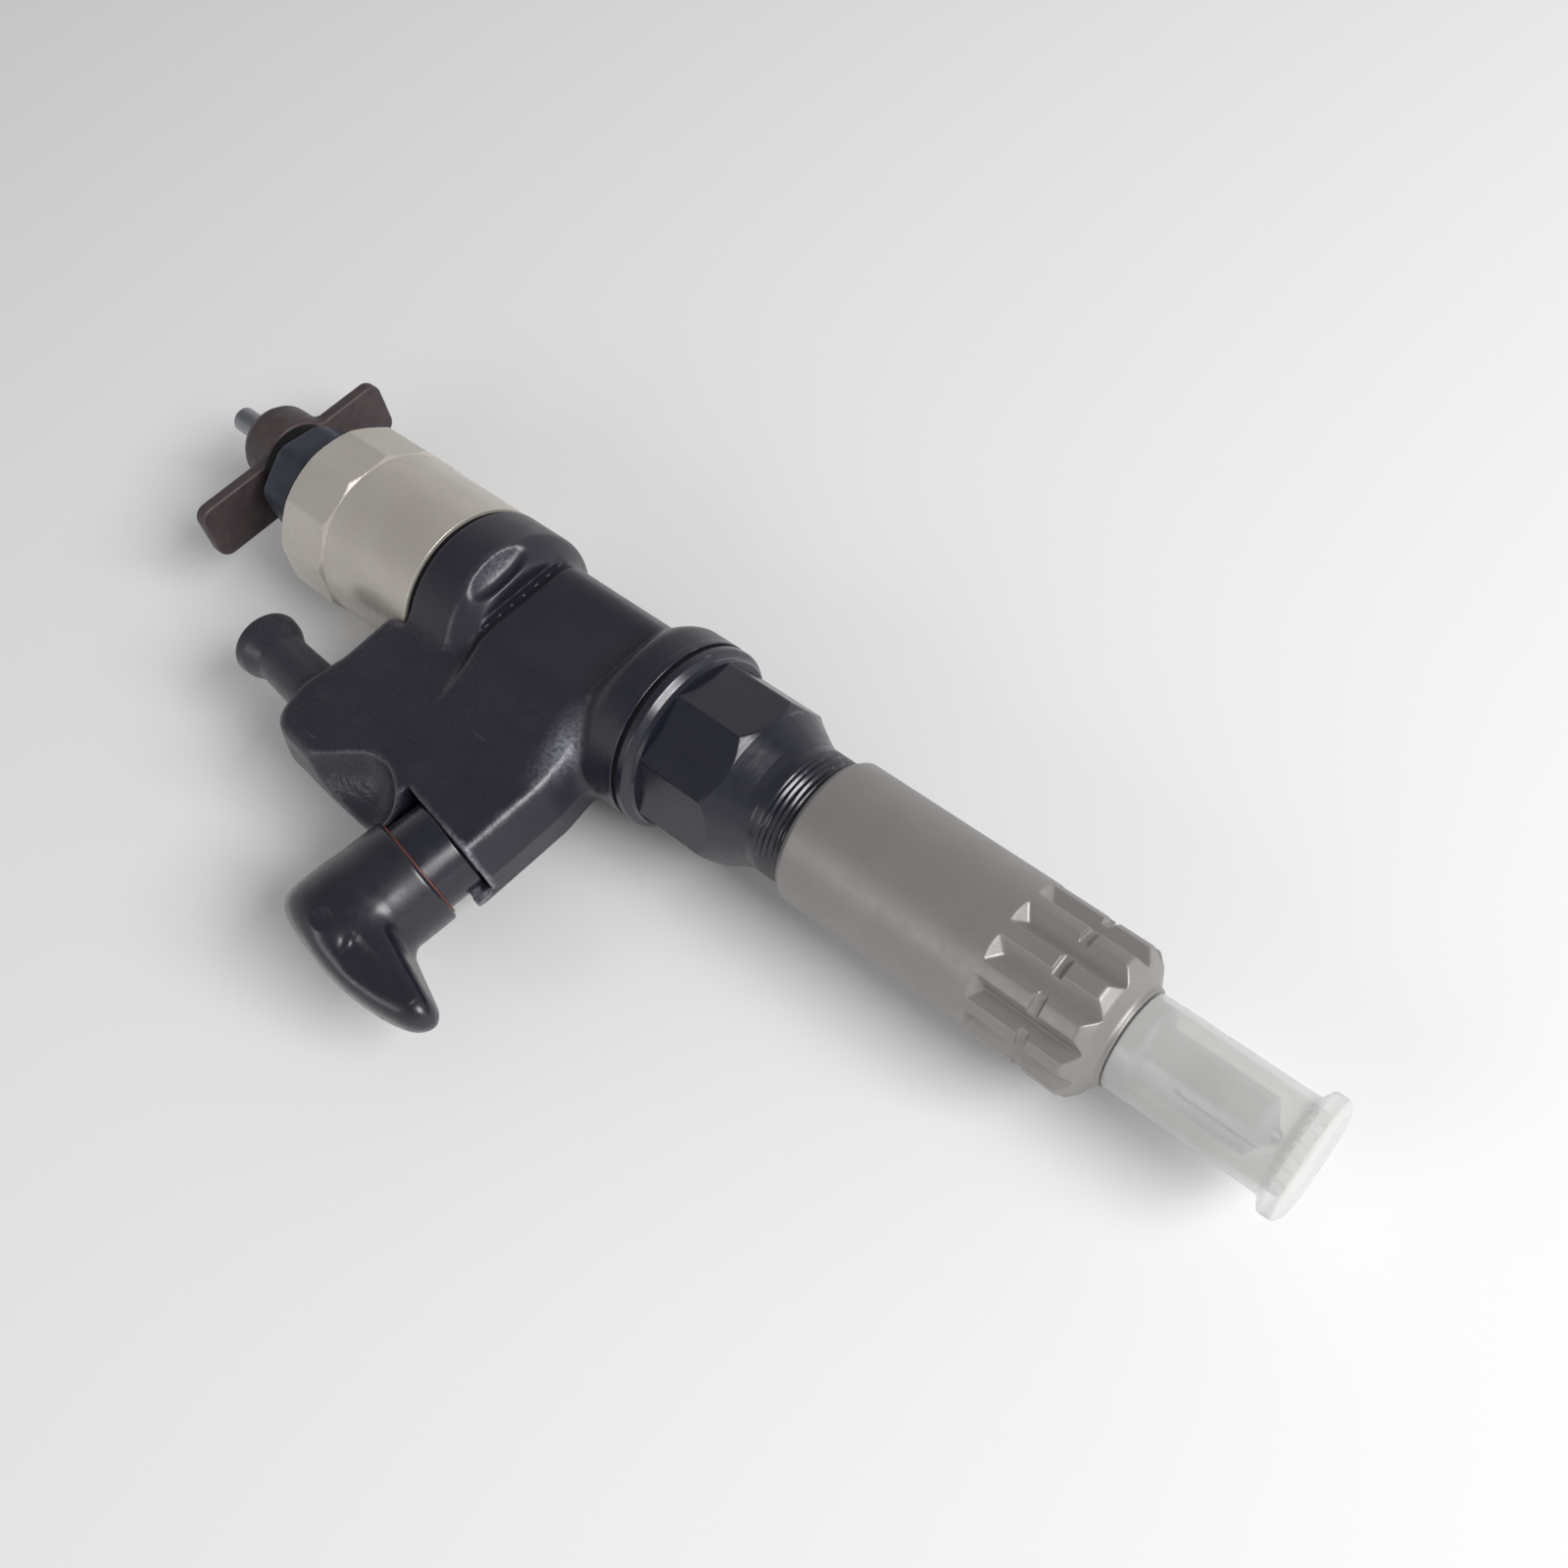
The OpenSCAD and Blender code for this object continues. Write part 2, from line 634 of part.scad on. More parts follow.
module inlet_cap() {
    tip_r = 3.2;
    color([0.07, 0.07, 0.09]) on_inlet() difference() {
        union() {
            turned([[s_cap_mouth, 0], [s_cap_mouth, inlet_cap_r - 0.3], [s_cap_mouth + 0.3, inlet_cap_r],
                    [s_cap_end - 2, inlet_cap_r], [s_cap_end - 0.6, inlet_cap_r - 0.8],
                    [s_cap_end, inlet_cap_r - 2.4], [s_cap_end, 0]]);
            hull() {
                bar(inlet_cap_r - 0.4, 40.6, s_cap_end - 1.2, [0, 0], $fn = 32);
                bar(tip_r, 42.6, 46.4, [tab_reach - tip_r, 0], $fn = 32);
            }
        }
        bar(union_r + slip, s_cap_mouth - 1, s_union_end + 0.6);
    }
}

module inlet_cap_ring() {
    color([0.42, 0.2, 0.16]) on_inlet() ring(inlet_cap_r - 0.35, union_r + slip, s_cap_ring, s_cap_mouth);
}

injector_body();
inlet_union();
inlet_filter();
leak_off_nipple();
flange_seal_ring();
collar_seal_ring();
solenoid_nut();
solenoid_housing();
terminal_block();
terminal_seal();
terminal_insulator();
terminal_stud();
solenoid_core();
coil_bobbin();
coil_winding();
coil_leads();
air_gap_shim();
valve_spring_shim();
valve_spring();
armature();
valve_ball();
valve_body();
orifice_plate();
command_piston();
spring_shim();
nozzle_spring();
pressure_pin();
distance_piece();
locating_dowels();
nozzle_body();
nozzle_needle();
nozzle_nut();
nozzle_cap();
inlet_cap();
inlet_cap_ring();
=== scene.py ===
"""The looks of a common-rail diesel injector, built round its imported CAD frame.

Shapes are worked out in millimetres in the CAD frame: +X along the main axis towards the nozzle, the
inlet arm towards -Y, +Z up. Turned pieces are profiles swept round an axis. Cast and moulded pieces
are distance fields that are meshed on a grid and then pulled onto the exact surface.
"""
import json
import math

import bpy
import numpy as np
from mathutils import Matrix, Vector


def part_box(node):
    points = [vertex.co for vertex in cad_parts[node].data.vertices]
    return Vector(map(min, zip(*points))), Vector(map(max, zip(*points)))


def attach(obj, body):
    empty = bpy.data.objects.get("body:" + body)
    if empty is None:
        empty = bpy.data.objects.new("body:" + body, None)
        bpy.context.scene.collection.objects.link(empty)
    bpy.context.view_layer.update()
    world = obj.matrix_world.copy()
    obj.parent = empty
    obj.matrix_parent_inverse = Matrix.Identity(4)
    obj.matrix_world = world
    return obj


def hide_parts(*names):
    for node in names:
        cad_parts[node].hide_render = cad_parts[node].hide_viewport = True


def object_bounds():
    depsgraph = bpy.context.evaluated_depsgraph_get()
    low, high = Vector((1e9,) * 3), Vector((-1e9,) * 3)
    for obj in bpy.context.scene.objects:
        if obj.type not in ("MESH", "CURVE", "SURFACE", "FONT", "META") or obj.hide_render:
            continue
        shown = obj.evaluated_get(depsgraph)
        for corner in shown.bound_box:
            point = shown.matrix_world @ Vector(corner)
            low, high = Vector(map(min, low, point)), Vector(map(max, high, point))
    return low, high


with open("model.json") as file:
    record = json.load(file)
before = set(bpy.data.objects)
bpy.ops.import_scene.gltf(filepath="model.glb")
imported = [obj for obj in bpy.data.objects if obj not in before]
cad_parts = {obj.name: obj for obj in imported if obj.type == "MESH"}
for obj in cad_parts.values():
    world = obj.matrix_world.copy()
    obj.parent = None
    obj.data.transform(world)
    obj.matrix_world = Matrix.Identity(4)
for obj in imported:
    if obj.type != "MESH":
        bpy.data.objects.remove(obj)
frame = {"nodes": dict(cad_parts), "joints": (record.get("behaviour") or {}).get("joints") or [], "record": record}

cad_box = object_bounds()
MM = 0.001
TAU = 2 * math.pi


# ---------------------------------------------------------------- places taken from the CAD nodes

def node_box(node):
    """Lowest and highest corners of a CAD node, in millimetres."""
    low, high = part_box(node)
    return np.array(low) / MM, np.array(high) / MM


def span_x(node):
    """Where a CAD node starts and ends along the main axis."""
    low, high = node_box(node)
    return low[0], high[0]


joint = {j["name"]: j for j in frame["joints"]}
INLET_DIR = np.array(joint["inlet_cap_pull"]["axis"], float)
INLET_DIR /= np.linalg.norm(INLET_DIR)
INLET_ORIGIN = np.array([-46.0, 0.0, 0.0])     # where the inlet axis meets the main axis
NUT_BACK, NUT_FRONT = span_x("nozzle_nut")
BODY_BACK = span_x("injector_body")[0]
SPIGOT_LENGTH = 11                              # the part of the body inside the solenoid nut
SOLENOID_TOP, SOLENOID_END = span_x("solenoid_nut")
CAP_START, CAP_END = span_x("nozzle_cap")
BLOCK_TOP, BLOCK_FOOT = span_x("terminal_block")
STUD_TIP, STUD_FOOT = span_x("terminal_stud")
HUB_END, WING_FRONT = span_x("terminal_insulator")
COLLAR_BACK = BODY_BACK + SPIGOT_LENGTH
FLANGE_R = 12.5
COLLAR_R = 12.3
WAIST_R = 10.05
SEAT_BACK = -64.5                               # the wall behind the fork clamp's seat
TERMINAL = np.array([0.0, 1.7, 0.4])            # centre line of the terminal stud
INLET_FRAME = Matrix((
    (INLET_DIR[0], -INLET_DIR[1], 0, INLET_ORIGIN[0]),
    (INLET_DIR[1], INLET_DIR[0], 0, INLET_ORIGIN[1]),
    (0, 0, 1, 0),
    (0, 0, 0, 1)))


# ---------------------------------------------------------------- curves

def arc_corner(before, corner, after, radius, steps):
    """Points of the arc that rounds a corner."""
    u = (before - corner) / np.linalg.norm(before - corner)
    w = (after - corner) / np.linalg.norm(after - corner)
    half = math.acos(max(-1.0, min(1.0, float(u @ w)))) / 2
    if radius <= 0 or half > math.radians(89):
        return [corner]
    room = 0.49 * min(np.linalg.norm(before - corner), np.linalg.norm(after - corner))
    radius = min(radius, room * math.tan(half))
    middle = corner + (u + w) / np.linalg.norm(u + w) * radius / math.sin(half)
    start = corner + u * radius / math.tan(half) - middle
    end = corner + w * radius / math.tan(half) - middle
    first = math.atan2(start[1], start[0])
    turn = math.atan2(start[0] * end[1] - start[1] * end[0], start @ end)
    angles = [first + turn * i / steps for i in range(steps + 1)]
    return [middle + radius * np.array([math.cos(a), math.sin(a)]) for a in angles]


def rounded(points, closed=True, steps=6):
    """A polyline of (a, b, corner radius) points with its corners rounded."""
    count = len(points)
    xy = [np.array(p[:2], float) for p in points]
    radii = [p[2] if len(p) > 2 else 0 for p in points]
    out = []
    for i in range(count):
        if not closed and i in (0, count - 1):
            out.append(xy[i])
            continue
        out += arc_corner(xy[i - 1], xy[i], xy[(i + 1) % count], radii[i], steps)
    return np.array(out)


def densified(line, longest, closed):
    """The same polyline with no stretch longer than the given length."""
    ends = np.roll(line, -1, 0) if closed else line[1:]
    out = []
    for a, b in zip(line, ends):
        pieces = max(1, math.ceil(np.linalg.norm(b - a) / longest))
        out += [a + (b - a) * i / pieces for i in range(pieces)]
    if not closed:
        out.append(line[-1])
    return np.array(out)


# ---------------------------------------------------------------- meshes

def add_mesh(name, points, faces, material, body, replaced=(), place=None, sharp=35):
    """A smooth-shaded object from points in millimetres, riding on a CAD body."""
    mesh = bpy.data.meshes.new(name)
    mesh.from_pydata((np.asarray(points) * MM).tolist(), [], faces)
    if place is not None:
        place = place.copy()
        place.translation *= MM
        mesh.transform(place)
    mesh.validate()
    mesh.polygons.foreach_set("use_smooth", [True] * len(mesh.polygons))
    mesh.set_sharp_from_angle(angle=math.radians(sharp))
    mesh.materials.append(material)
    mesh.update()
    piece = bpy.data.objects.new(name, mesh)
    bpy.context.scene.collection.objects.link(piece)
    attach(piece, body)
    if replaced:
        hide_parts(*replaced)
    return piece


def turned(line, around=128, shape=None, closed=False):
    """Points and faces of a profile of (station, radius) swept round the X axis.

    shape(x, r, angle) may change the radii. An open profile starts and ends on the axis.
    """
    line = np.asarray(line, float)
    angle = np.arange(around) * TAU / around
    x = np.repeat(line[:, :1], around, 1)
    r = np.repeat(line[:, 1:2], around, 1)
    a = np.repeat(angle[None, :], len(line), 0)
    if shape is not None:
        r = shape(x, r, a)
    rings = np.stack([x, r * np.sin(a), r * np.cos(a)], -1)
    body = rings if closed else rings[1:-1]
    points = body.reshape(-1, 3)
    count = len(body)
    faces = []
    for i in range(count if closed else count - 1):
        j = (i + 1) % count
        for k in range(around):
            n = (k + 1) % around
            faces.append((i * around + k, i * around + n, j * around + n, j * around + k))
    if not closed:
        first = len(points)
        points = np.vstack([points, [line[0, 0], 0, 0], [line[-1, 0], 0, 0]])
        last = (count - 1) * around
        for k in range(around):
            n = (k + 1) % around
            faces.append((first, n, k))
            faces.append((first + 1, last + k, last + n))
    return points, faces


def meshed(distance, low, high, step):
    """Points and quads of the surface where a distance field is zero (negative is inside)."""
    axes = [np.arange(a - 2 * step, b + 3 * step, step) for a, b in zip(low, high)]
    grid = np.meshgrid(*axes, indexing="ij")
    field = distance(*grid).astype(np.float32)
    inside = field < 0
    shape = tuple(n - 1 for n in field.shape)
    total = np.zeros(shape + (3,), np.float32)
    hits = np.zeros(shape, np.int16)
    crossings = []
    for axis in range(3):
        here = [slice(None)] * 3
        there = [slice(None)] * 3
        here[axis] = slice(0, -1)
        there[axis] = slice(1, None)
        f0, f1 = field[tuple(here)], field[tuple(there)]
        cross = inside[tuple(here)] != inside[tuple(there)]
        crossings.append(cross)
        with np.errstate(divide="ignore", invalid="ignore"):
            t = np.where(cross, f0 / (f0 - f1), 0)
        others = [o for o in range(3) if o != axis]
        for da in (0, 1):
            for db in (0, 1):
                window = [slice(None)] * 3
                window[others[0]] = slice(da, da + shape[others[0]])
                window[others[1]] = slice(db, db + shape[others[1]])
                hit = cross[tuple(window)]
                hits += hit
                total[..., axis] += np.where(hit, t[tuple(window)], 0)
                total[..., others[0]] += hit * da
                total[..., others[1]] += hit * db
    used = hits > 0
    number = np.full(shape, -1, np.int64)
    number[used] = np.arange(used.sum())
    cell = np.argwhere(used)
    start = np.array([a[0] for a in axes])
    points = start + (cell + total[used] / hits[used][:, None]) * step
    quads = []
    for axis in range(3):
        b, c = (axis + 1) % 3, (axis + 2) % 3
        at = np.argwhere(crossings[axis])
        at = at[(at[:, b] > 0) & (at[:, c] > 0)]
        eb, ec = np.eye(3, dtype=int)[b], np.eye(3, dtype=int)[c]
        ring = [number[tuple((at - s).T)] for s in (0 * eb, eb, eb + ec, ec)]
        quad = np.stack(ring, 1)
        rising = inside[tuple(at.T)]
        quad[~rising] = quad[~rising][:, ::-1]
        quads.append(quad)
    return pulled(points, distance, step), np.vstack(quads).tolist()


def pulled(points, distance, step):
    """Points moved along the gradient onto the zero of the distance field."""
    small = 0.02
    for _ in range(3):
        value = distance(*points.T)
        slope = np.stack([(distance(*(points + d).T) - distance(*(points - d).T)) / (2 * small)
                          for d in np.eye(3) * small], 1)
        square = np.maximum((slope ** 2).sum(1), 0.2)
        move = -slope * (value / square)[:, None]
        points = points + np.clip(move, -step / 2, step / 2)
    return points


# ---------------------------------------------------------------- distance fields

def joined(a, b, blend):
    """Union of two fields with a fillet about as wide as blend."""
    h = np.maximum(blend - np.abs(a - b), 0) / blend
    return np.minimum(a, b) - h * h * blend / 4


def common(a, b, blend):
    return -joined(-a, -b, blend)


def cut(a, b, blend):
    """Field a with b taken away."""
    return common(a, -b, blend)


def box_field(x, y, z, middle, half, corner):
    q = [np.abs(v - m) - (h - corner) for v, m, h in zip((x, y, z), middle, half)]
    outside = np.sqrt(sum(np.maximum(v, 0) ** 2 for v in q))
    return outside + np.minimum(np.maximum(np.maximum(q[0], q[1]), q[2]), 0) - corner


def egg_field(x, y, z, middle, half):
    """Roughly the distance to an ellipsoid."""
    v = [(p - m) / h for p, m, h in zip((x, y, z), middle, half)]
    k0 = np.sqrt(sum(p ** 2 for p in v)) + 1e-9
    k1 = np.sqrt(sum((p / h) ** 2 for p, h in zip(v, half))) + 1e-9
    return k0 * (k0 - 1) / k1


def outline_field(x, y, line):
    """Signed distance to a closed polyline in the XY plane."""
    best = np.full(x.shape, 1e9)
    within = np.zeros(x.shape, bool)
    for (ax, ay), (bx, by) in zip(line, np.roll(line, -1, 0)):
        ex, ey = bx - ax, by - ay
        t = np.clip(((x - ax) * ex + (y - ay) * ey) / (ex * ex + ey * ey), 0, 1)
        best = np.minimum(best, (x - ax - t * ex) ** 2 + (y - ay - t * ey) ** 2)
        crosses = (ay > y) != (by > y)
        if ey:
            within ^= crosses & (x < ax + (y - ay) * ex / ey)
    return np.where(within, -1, 1) * np.sqrt(best)


def ripple(x, y, z, wave, seed):
    """Smooth pseudo-random waves between about -1 and 1, wave millimetres long."""
    draw = np.random.default_rng(seed)
    total = 0
    for _ in range(7):
        way = draw.normal(size=3)
        way *= TAU / wave / np.linalg.norm(way) * draw.uniform(0.7, 1.3)
        total = total + np.sin(x * way[0] + y * way[1] + z * way[2] + draw.uniform(0, TAU))
    return total / 4


def smooth_steps(v, low, high):
    t = np.clip((v - low) / (high - low), 0, 1)
    return t * t * (3 - 2 * t)


# ---------------------------------------------------------------- materials

def srgb(red, green, blue):
    """A linear colour from 0-255 display values."""
    def linear(v):
        v /= 255
        return v / 12.92 if v <= 0.04045 else ((v + 0.055) / 1.055) ** 2.4
    return (linear(red), linear(green), linear(blue), 1.0)


RANGE_SOCKETS = ("From Min", "From Max", "To Min", "To Max")


class Shader:
    """A Principled material with short ways to add procedural detail."""

    def __init__(self, name, colour, roughness, metallic=0.0, **inputs):
        self.material = bpy.data.materials.new(name)
        self.material.use_nodes = True
        self.tree = self.material.node_tree
        self.out = self.tree.nodes["Principled BSDF"]
        self.out.inputs["Base Color"].default_value = colour
        self.out.inputs["Roughness"].default_value = roughness
        self.out.inputs["Metallic"].default_value = metallic
        for socket, value in inputs.items():
            self.out.inputs[socket.replace("_", " ")].default_value = value
        self.place = self.tree.nodes.new("ShaderNodeTexCoord").outputs["Object"]
        self.normal = None

    def node(self, kind, **values):
        made = self.tree.nodes.new(kind)
        for key, value in values.items():
            if key in made.inputs:
                made.inputs[key].default_value = value
            else:
                setattr(made, key, value)
        return made

    def link(self, a, b):
        self.tree.links.new(a, b)

    def stretched(self, scale):
        """The object's coordinates, scaled along each axis."""
        mapping = self.node("ShaderNodeMapping")
        mapping.inputs["Scale"].default_value = scale
        self.link(self.place, mapping.inputs["Vector"])
        return mapping.outputs[0]

    def noise(self, size_mm, detail=3.0, rough=0.55, stretch=(1, 1, 1)):
        made = self.node("ShaderNodeTexNoise", Scale=1 / (size_mm * MM), Detail=detail, Roughness=rough)
        self.link(self.stretched(stretch), made.inputs["Vector"])
        return made.outputs["Fac"]

    def clouds(self, size_mm, detail=3.0):
        """Soft patches between 0 and 1."""
        return self.range(self.noise(size_mm, detail), 0.35, 0.65, 0, 1)

    def cells(self, size_mm):
        """Distance to the nearest of a scatter of points."""
        made = self.node("ShaderNodeTexVoronoi", Scale=1 / (size_mm * MM))
        self.link(self.place, made.inputs["Vector"])
        return made.outputs["Distance"]

    def range(self, value, low, high, to_low, to_high):
        """The value carried from low..high to to_low..to_high, and held there."""
        made = self.node("ShaderNodeMapRange", clamp=True)
        for socket, number in zip(RANGE_SOCKETS, (low, high, to_low, to_high)):
            made.inputs[socket].default_value = number
        self.link(value, made.inputs["Value"])
        return made.outputs["Result"]

    def maths(self, operation, a, b):
        made = self.node("ShaderNodeMath", operation=operation)
        for socket, value in zip(made.inputs, (a, b)):
            if isinstance(value, (int, float)):
                socket.default_value = value
            else:
                self.link(value, socket)
        return made.outputs[0]

    def mix(self, factor, a, b):
        """A colour between a and b. Each is a colour or a socket."""
        made = self.node("ShaderNodeMix", data_type="RGBA")
        self.link(factor, made.inputs["Factor"])
        for socket, value in zip((made.inputs[6], made.inputs[7]), (a, b)):
            if isinstance(value, tuple):
                socket.default_value = value
            else:
                self.link(value, socket)
        return made.outputs[2]

    def colour(self, value):
        self.link(value, self.out.inputs["Base Color"])

    def roughness(self, value, low, high):
        """Roughness between low and high, following a noise."""
        self.link(self.range(value, 0.3, 0.7, low, high), self.out.inputs["Roughness"])

    def bump(self, height, depth_mm):
        """Relief of the given depth, on top of the relief made before."""
        made = self.node("ShaderNodeBump", Strength=1.0, Distance=depth_mm * MM)
        self.link(height, made.inputs["Height"])
        if self.normal is not None:
            self.link(self.normal, made.inputs["Normal"])
        self.normal = made.outputs[0]
        self.link(self.normal, self.out.inputs["Normal"])

    def edges(self, low, high):
        """0 on flat and hollow places, 1 on sharp outer edges."""
        made = self.node("ShaderNodeNewGeometry")
        return self.range(made.outputs["Pointiness"], low, high, 0, 1)

    def mask(self, name):
        """The number that paint stored on each point."""
        return self.node("ShaderNodeAttribute", attribute_name=name).outputs["Fac"]


def black_oxide_cast():
    """Forged skin: near-black blue oxide, fine grained, with brighter rubbed edges and a painted highlight on the
    arm's right edge and flare.
    """
    m = Shader("black_oxide_cast", srgb(34, 33, 43), 0.4, 0.0, IOR=1.55)
    wear_and_highlight = m.mask("wear_and_highlight")
    peel = m.mask("peel")
    cloud = m.clouds(9, 3)
    grit = m.noise(0.5, 4, 0.6)
    base = m.mix(cloud, srgb(26, 26, 39), srgb(36, 33, 45))
    spots = m.maths("MULTIPLY", m.range(grit, 0.55, 0.72, 0, 0.35), peel)
    base = m.mix(spots, base, srgb(62, 59, 70))
    scratches = m.range(m.noise(1.2, 2, 0.4, (0.12, 1.6, 1)), 0.7, 0.76, 0, 0.2)
    base = m.mix(m.maths("MULTIPLY", scratches, peel), base, srgb(86, 84, 94))
    # Lighter colour from the painted mask: rubbed edges, plus a painted highlight on the arm's right edge and the
    # flare patch.
    lightened = m.maths("MULTIPLY", m.range(grit, 0.35, 0.6, 0.3, 1), wear_and_highlight)
    m.colour(m.mix(lightened, base, srgb(126, 127, 136)))
    m.roughness(m.noise(2.2, 4), 0.3, 0.4)
    m.bump(m.maths("MULTIPLY", m.noise(1.3, 3, 0.55, (0.6, 1.2, 1)), peel), 0.17)
    m.bump(m.maths("MULTIPLY", m.noise(0.5, 3), peel), 0.07)
    return m.material


def black_oxide_turned():
    """Machined surfaces under the same oxide: smoother, with fine turning lines and a painted highlight on sharp
    outer edges.
    """
    m = Shader("black_oxide_turned", srgb(24, 25, 33), 0.24, 0.0, IOR=1.62)
    cloud = m.clouds(7, 3)
    base = m.mix(cloud, srgb(22, 23, 36), srgb(29, 29, 42))
    # Sharp outer edges get a lighter colour: a painted highlight standing in for the reflections on small fillets.
    m.colour(m.mix(m.edges(0.57, 0.7), base, srgb(84, 86, 98)))
    lines = m.noise(0.25, 2, 0.5, (1, 0.02, 0.02))
    m.roughness(m.noise(1.6, 4), 0.2, 0.3)
    m.bump(lines, 0.008)
    return m.material


def satin_nickel():
    """The solenoid nut: warm silver, turned, with small dents."""
    m = Shader("satin_nickel", srgb(214, 210, 203), 0.3, 0.5)
    cloud = m.clouds(11, 2)
    m.colour(m.mix(cloud, srgb(200, 194, 186), srgb(193, 187, 178)))
    lines = m.noise(0.3, 3, 0.5, (1, 0.03, 0.03))
    m.roughness(lines, 0.27, 0.31)
    m.bump(lines, 0.0015)
    m.bump(m.range(m.cells(7), 0.03, 0.1, 0, 1), 0.03)
    return m.material


def phosphate_grey():
    """The nozzle nut: matte phosphated steel with a fine grain."""
    m = Shader("phosphate_grey", srgb(140, 138, 136), 0.45, 0.55)
    grain = m.noise(0.22, 3, 0.6)
    cloud = m.clouds(6, 3)
    base = m.mix(cloud, srgb(150, 147, 145), srgb(146, 143, 141))
    m.colour(m.mix(m.range(grain, 0.6, 0.8, 0, 0.3), base, srgb(126, 124, 123)))
    m.roughness(m.noise(1.5, 3), 0.42, 0.5)
    m.bump(grain, 0.02)
    return m.material


def milky_tube():
    """The nozzle cap: thin milky polythene that lets the nozzle show as a soft shape."""
    m = Shader("milky_tube", srgb(206, 208, 204), 0.3, 0.0, IOR=1.48, Alpha=0.42)
    m.colour(m.mix(m.range(m.noise(6, 2), 0.3, 0.7, 0, 1), srgb(226, 226, 224), srgb(216, 216, 214)))
    m.roughness(m.noise(3, 2), 0.26, 0.36)
    m.bump(m.noise(0.9, 2, 0.5, (0.2, 1, 1)), 0.006)
    return m.material


def glossy_cap():
    """The inlet cap: soft glossy black plastic, slightly wavy."""
    m = Shader("glossy_cap", srgb(24, 24, 31), 0.3, 0.0, IOR=1.52, Coat_Weight=0.3, Coat_Roughness=0.2)
    cloud = m.clouds(5, 3)
    m.colour(m.mix(cloud, srgb(22, 21, 33), srgb(31, 29, 41)))
    m.roughness(m.noise(1.2, 4), 0.28, 0.4)
    m.bump(m.noise(2.6, 2), 0.03)
    m.bump(m.noise(0.4, 2), 0.008)
    return m.material


def moulded(name, dark, light, roughness, grain_mm=0.3):
    """A filled moulding with a mottled colour and a fine grain."""
    m = Shader(name, dark, roughness, 0.0, IOR=1.45)
    mottle = m.clouds(2.4, 4)
    lightened = tuple(min(1, 1.7 * c) for c in light[:3]) + (1,)
    m.colour(m.mix(m.edges(0.52, 0.58), m.mix(mottle, dark, light), lightened))
    m.roughness(m.noise(1.1, 3), roughness - 0.07, roughness + 0.07)
    m.bump(m.noise(grain_mm, 3), 0.015)
    return m.material


def rubber():
    """Soft black seals, nearly without shine."""
    m = Shader("black_rubber", srgb(12, 12, 14), 0.8, 0.0, IOR=1.3)
    m.colour(m.mix(m.noise(1.5, 3), srgb(9, 9, 11), srgb(17, 17, 19)))
    m.bump(m.noise(0.25, 3), 0.01)
    return m.material


def ground_steel(name, shade, roughness, lines_mm=0.2):
    """Bright steel with fine turning lines across the main axis."""
    m = Shader(name, shade, roughness, 1.0)
    lines = m.noise(lines_mm, 3, 0.5, (1, 0.03, 0.03))
    dull = tuple(0.88 * c for c in shade[:3]) + (1,)
    m.colour(m.mix(m.clouds(4, 3), shade, dull))
    m.roughness(lines, roughness - 0.06, roughness + 0.08)
    m.bump(lines, 0.006)
    return m.material


def copper_enamel():
    """Enamelled copper wire, wound side by side."""
    m = Shader("copper_enamel", srgb(176, 92, 50), 0.3, 0.9, Coat_Weight=0.5, Coat_Roughness=0.1)
    wires = m.noise(0.3, 1, 0.3, (1, 0.02, 0.02))
    m.colour(m.mix(m.range(wires, 0.4, 0.6, 0, 1), srgb(150, 72, 38), srgb(196, 108, 60)))
    m.bump(wires, 0.03)
    return m.material


CAST = black_oxide_cast()
TURNED = black_oxide_turned()
SILVER = satin_nickel()
PHOSPHATE = phosphate_grey()
MILKY = milky_tube()
GLOSSY = glossy_cap()
SLATE = moulded("slate_moulding", srgb(36, 41, 54), srgb(44, 50, 63), 0.42)
BROWN = moulded("brown_phenolic", srgb(60, 50, 52), srgb(72, 61, 62), 0.48)
RED_BROWN = moulded("red_brown_ring", srgb(86, 44, 38), srgb(104, 58, 50), 0.45)
CREAM = moulded("bobbin_nylon", srgb(205, 196, 165), srgb(216, 208, 180), 0.5)
RUBBER = rubber()
BRIGHT = ground_steel("bright_steel", srgb(146, 148, 153), 0.15, 1.5)
HARDENED = ground_steel("hardened_steel", srgb(165, 166, 170), 0.3)
SPRING = ground_steel("spring_steel", srgb(110, 111, 116), 0.35, 0.4)
CORE = ground_steel("sintered_core", srgb(98, 98, 102), 0.55)
COPPER = copper_enamel()

MATERIAL_OF_SLOT = {
    "bright_steel": HARDENED, "spring_steel": SPRING, "sintered_core": CORE, "copper_wire": COPPER,
    "bobbin_plastic": CREAM, "slate_plastic": SLATE, "brown_phenolic": BROWN, "black_rubber": RUBBER,
    "black_oxide_steel": TURNED, "solenoid_nut_steel": SILVER, "phosphated_steel": PHOSPHATE,
    "milky_plastic": MILKY, "glossy_black_plastic": GLOSSY, "red_brown_ring": RED_BROWN,
}


def dress_cad_nodes():
    """Gives every CAD node the procedural material of its slot."""
    for part in frame["record"]["subparts"]:
        node = frame["nodes"][part["node"]]
        material = MATERIAL_OF_SLOT[part["material_slot"]]
        node.data.materials.clear()
        node.data.materials.append(material)


# ---------------------------------------------------------------- the forged body

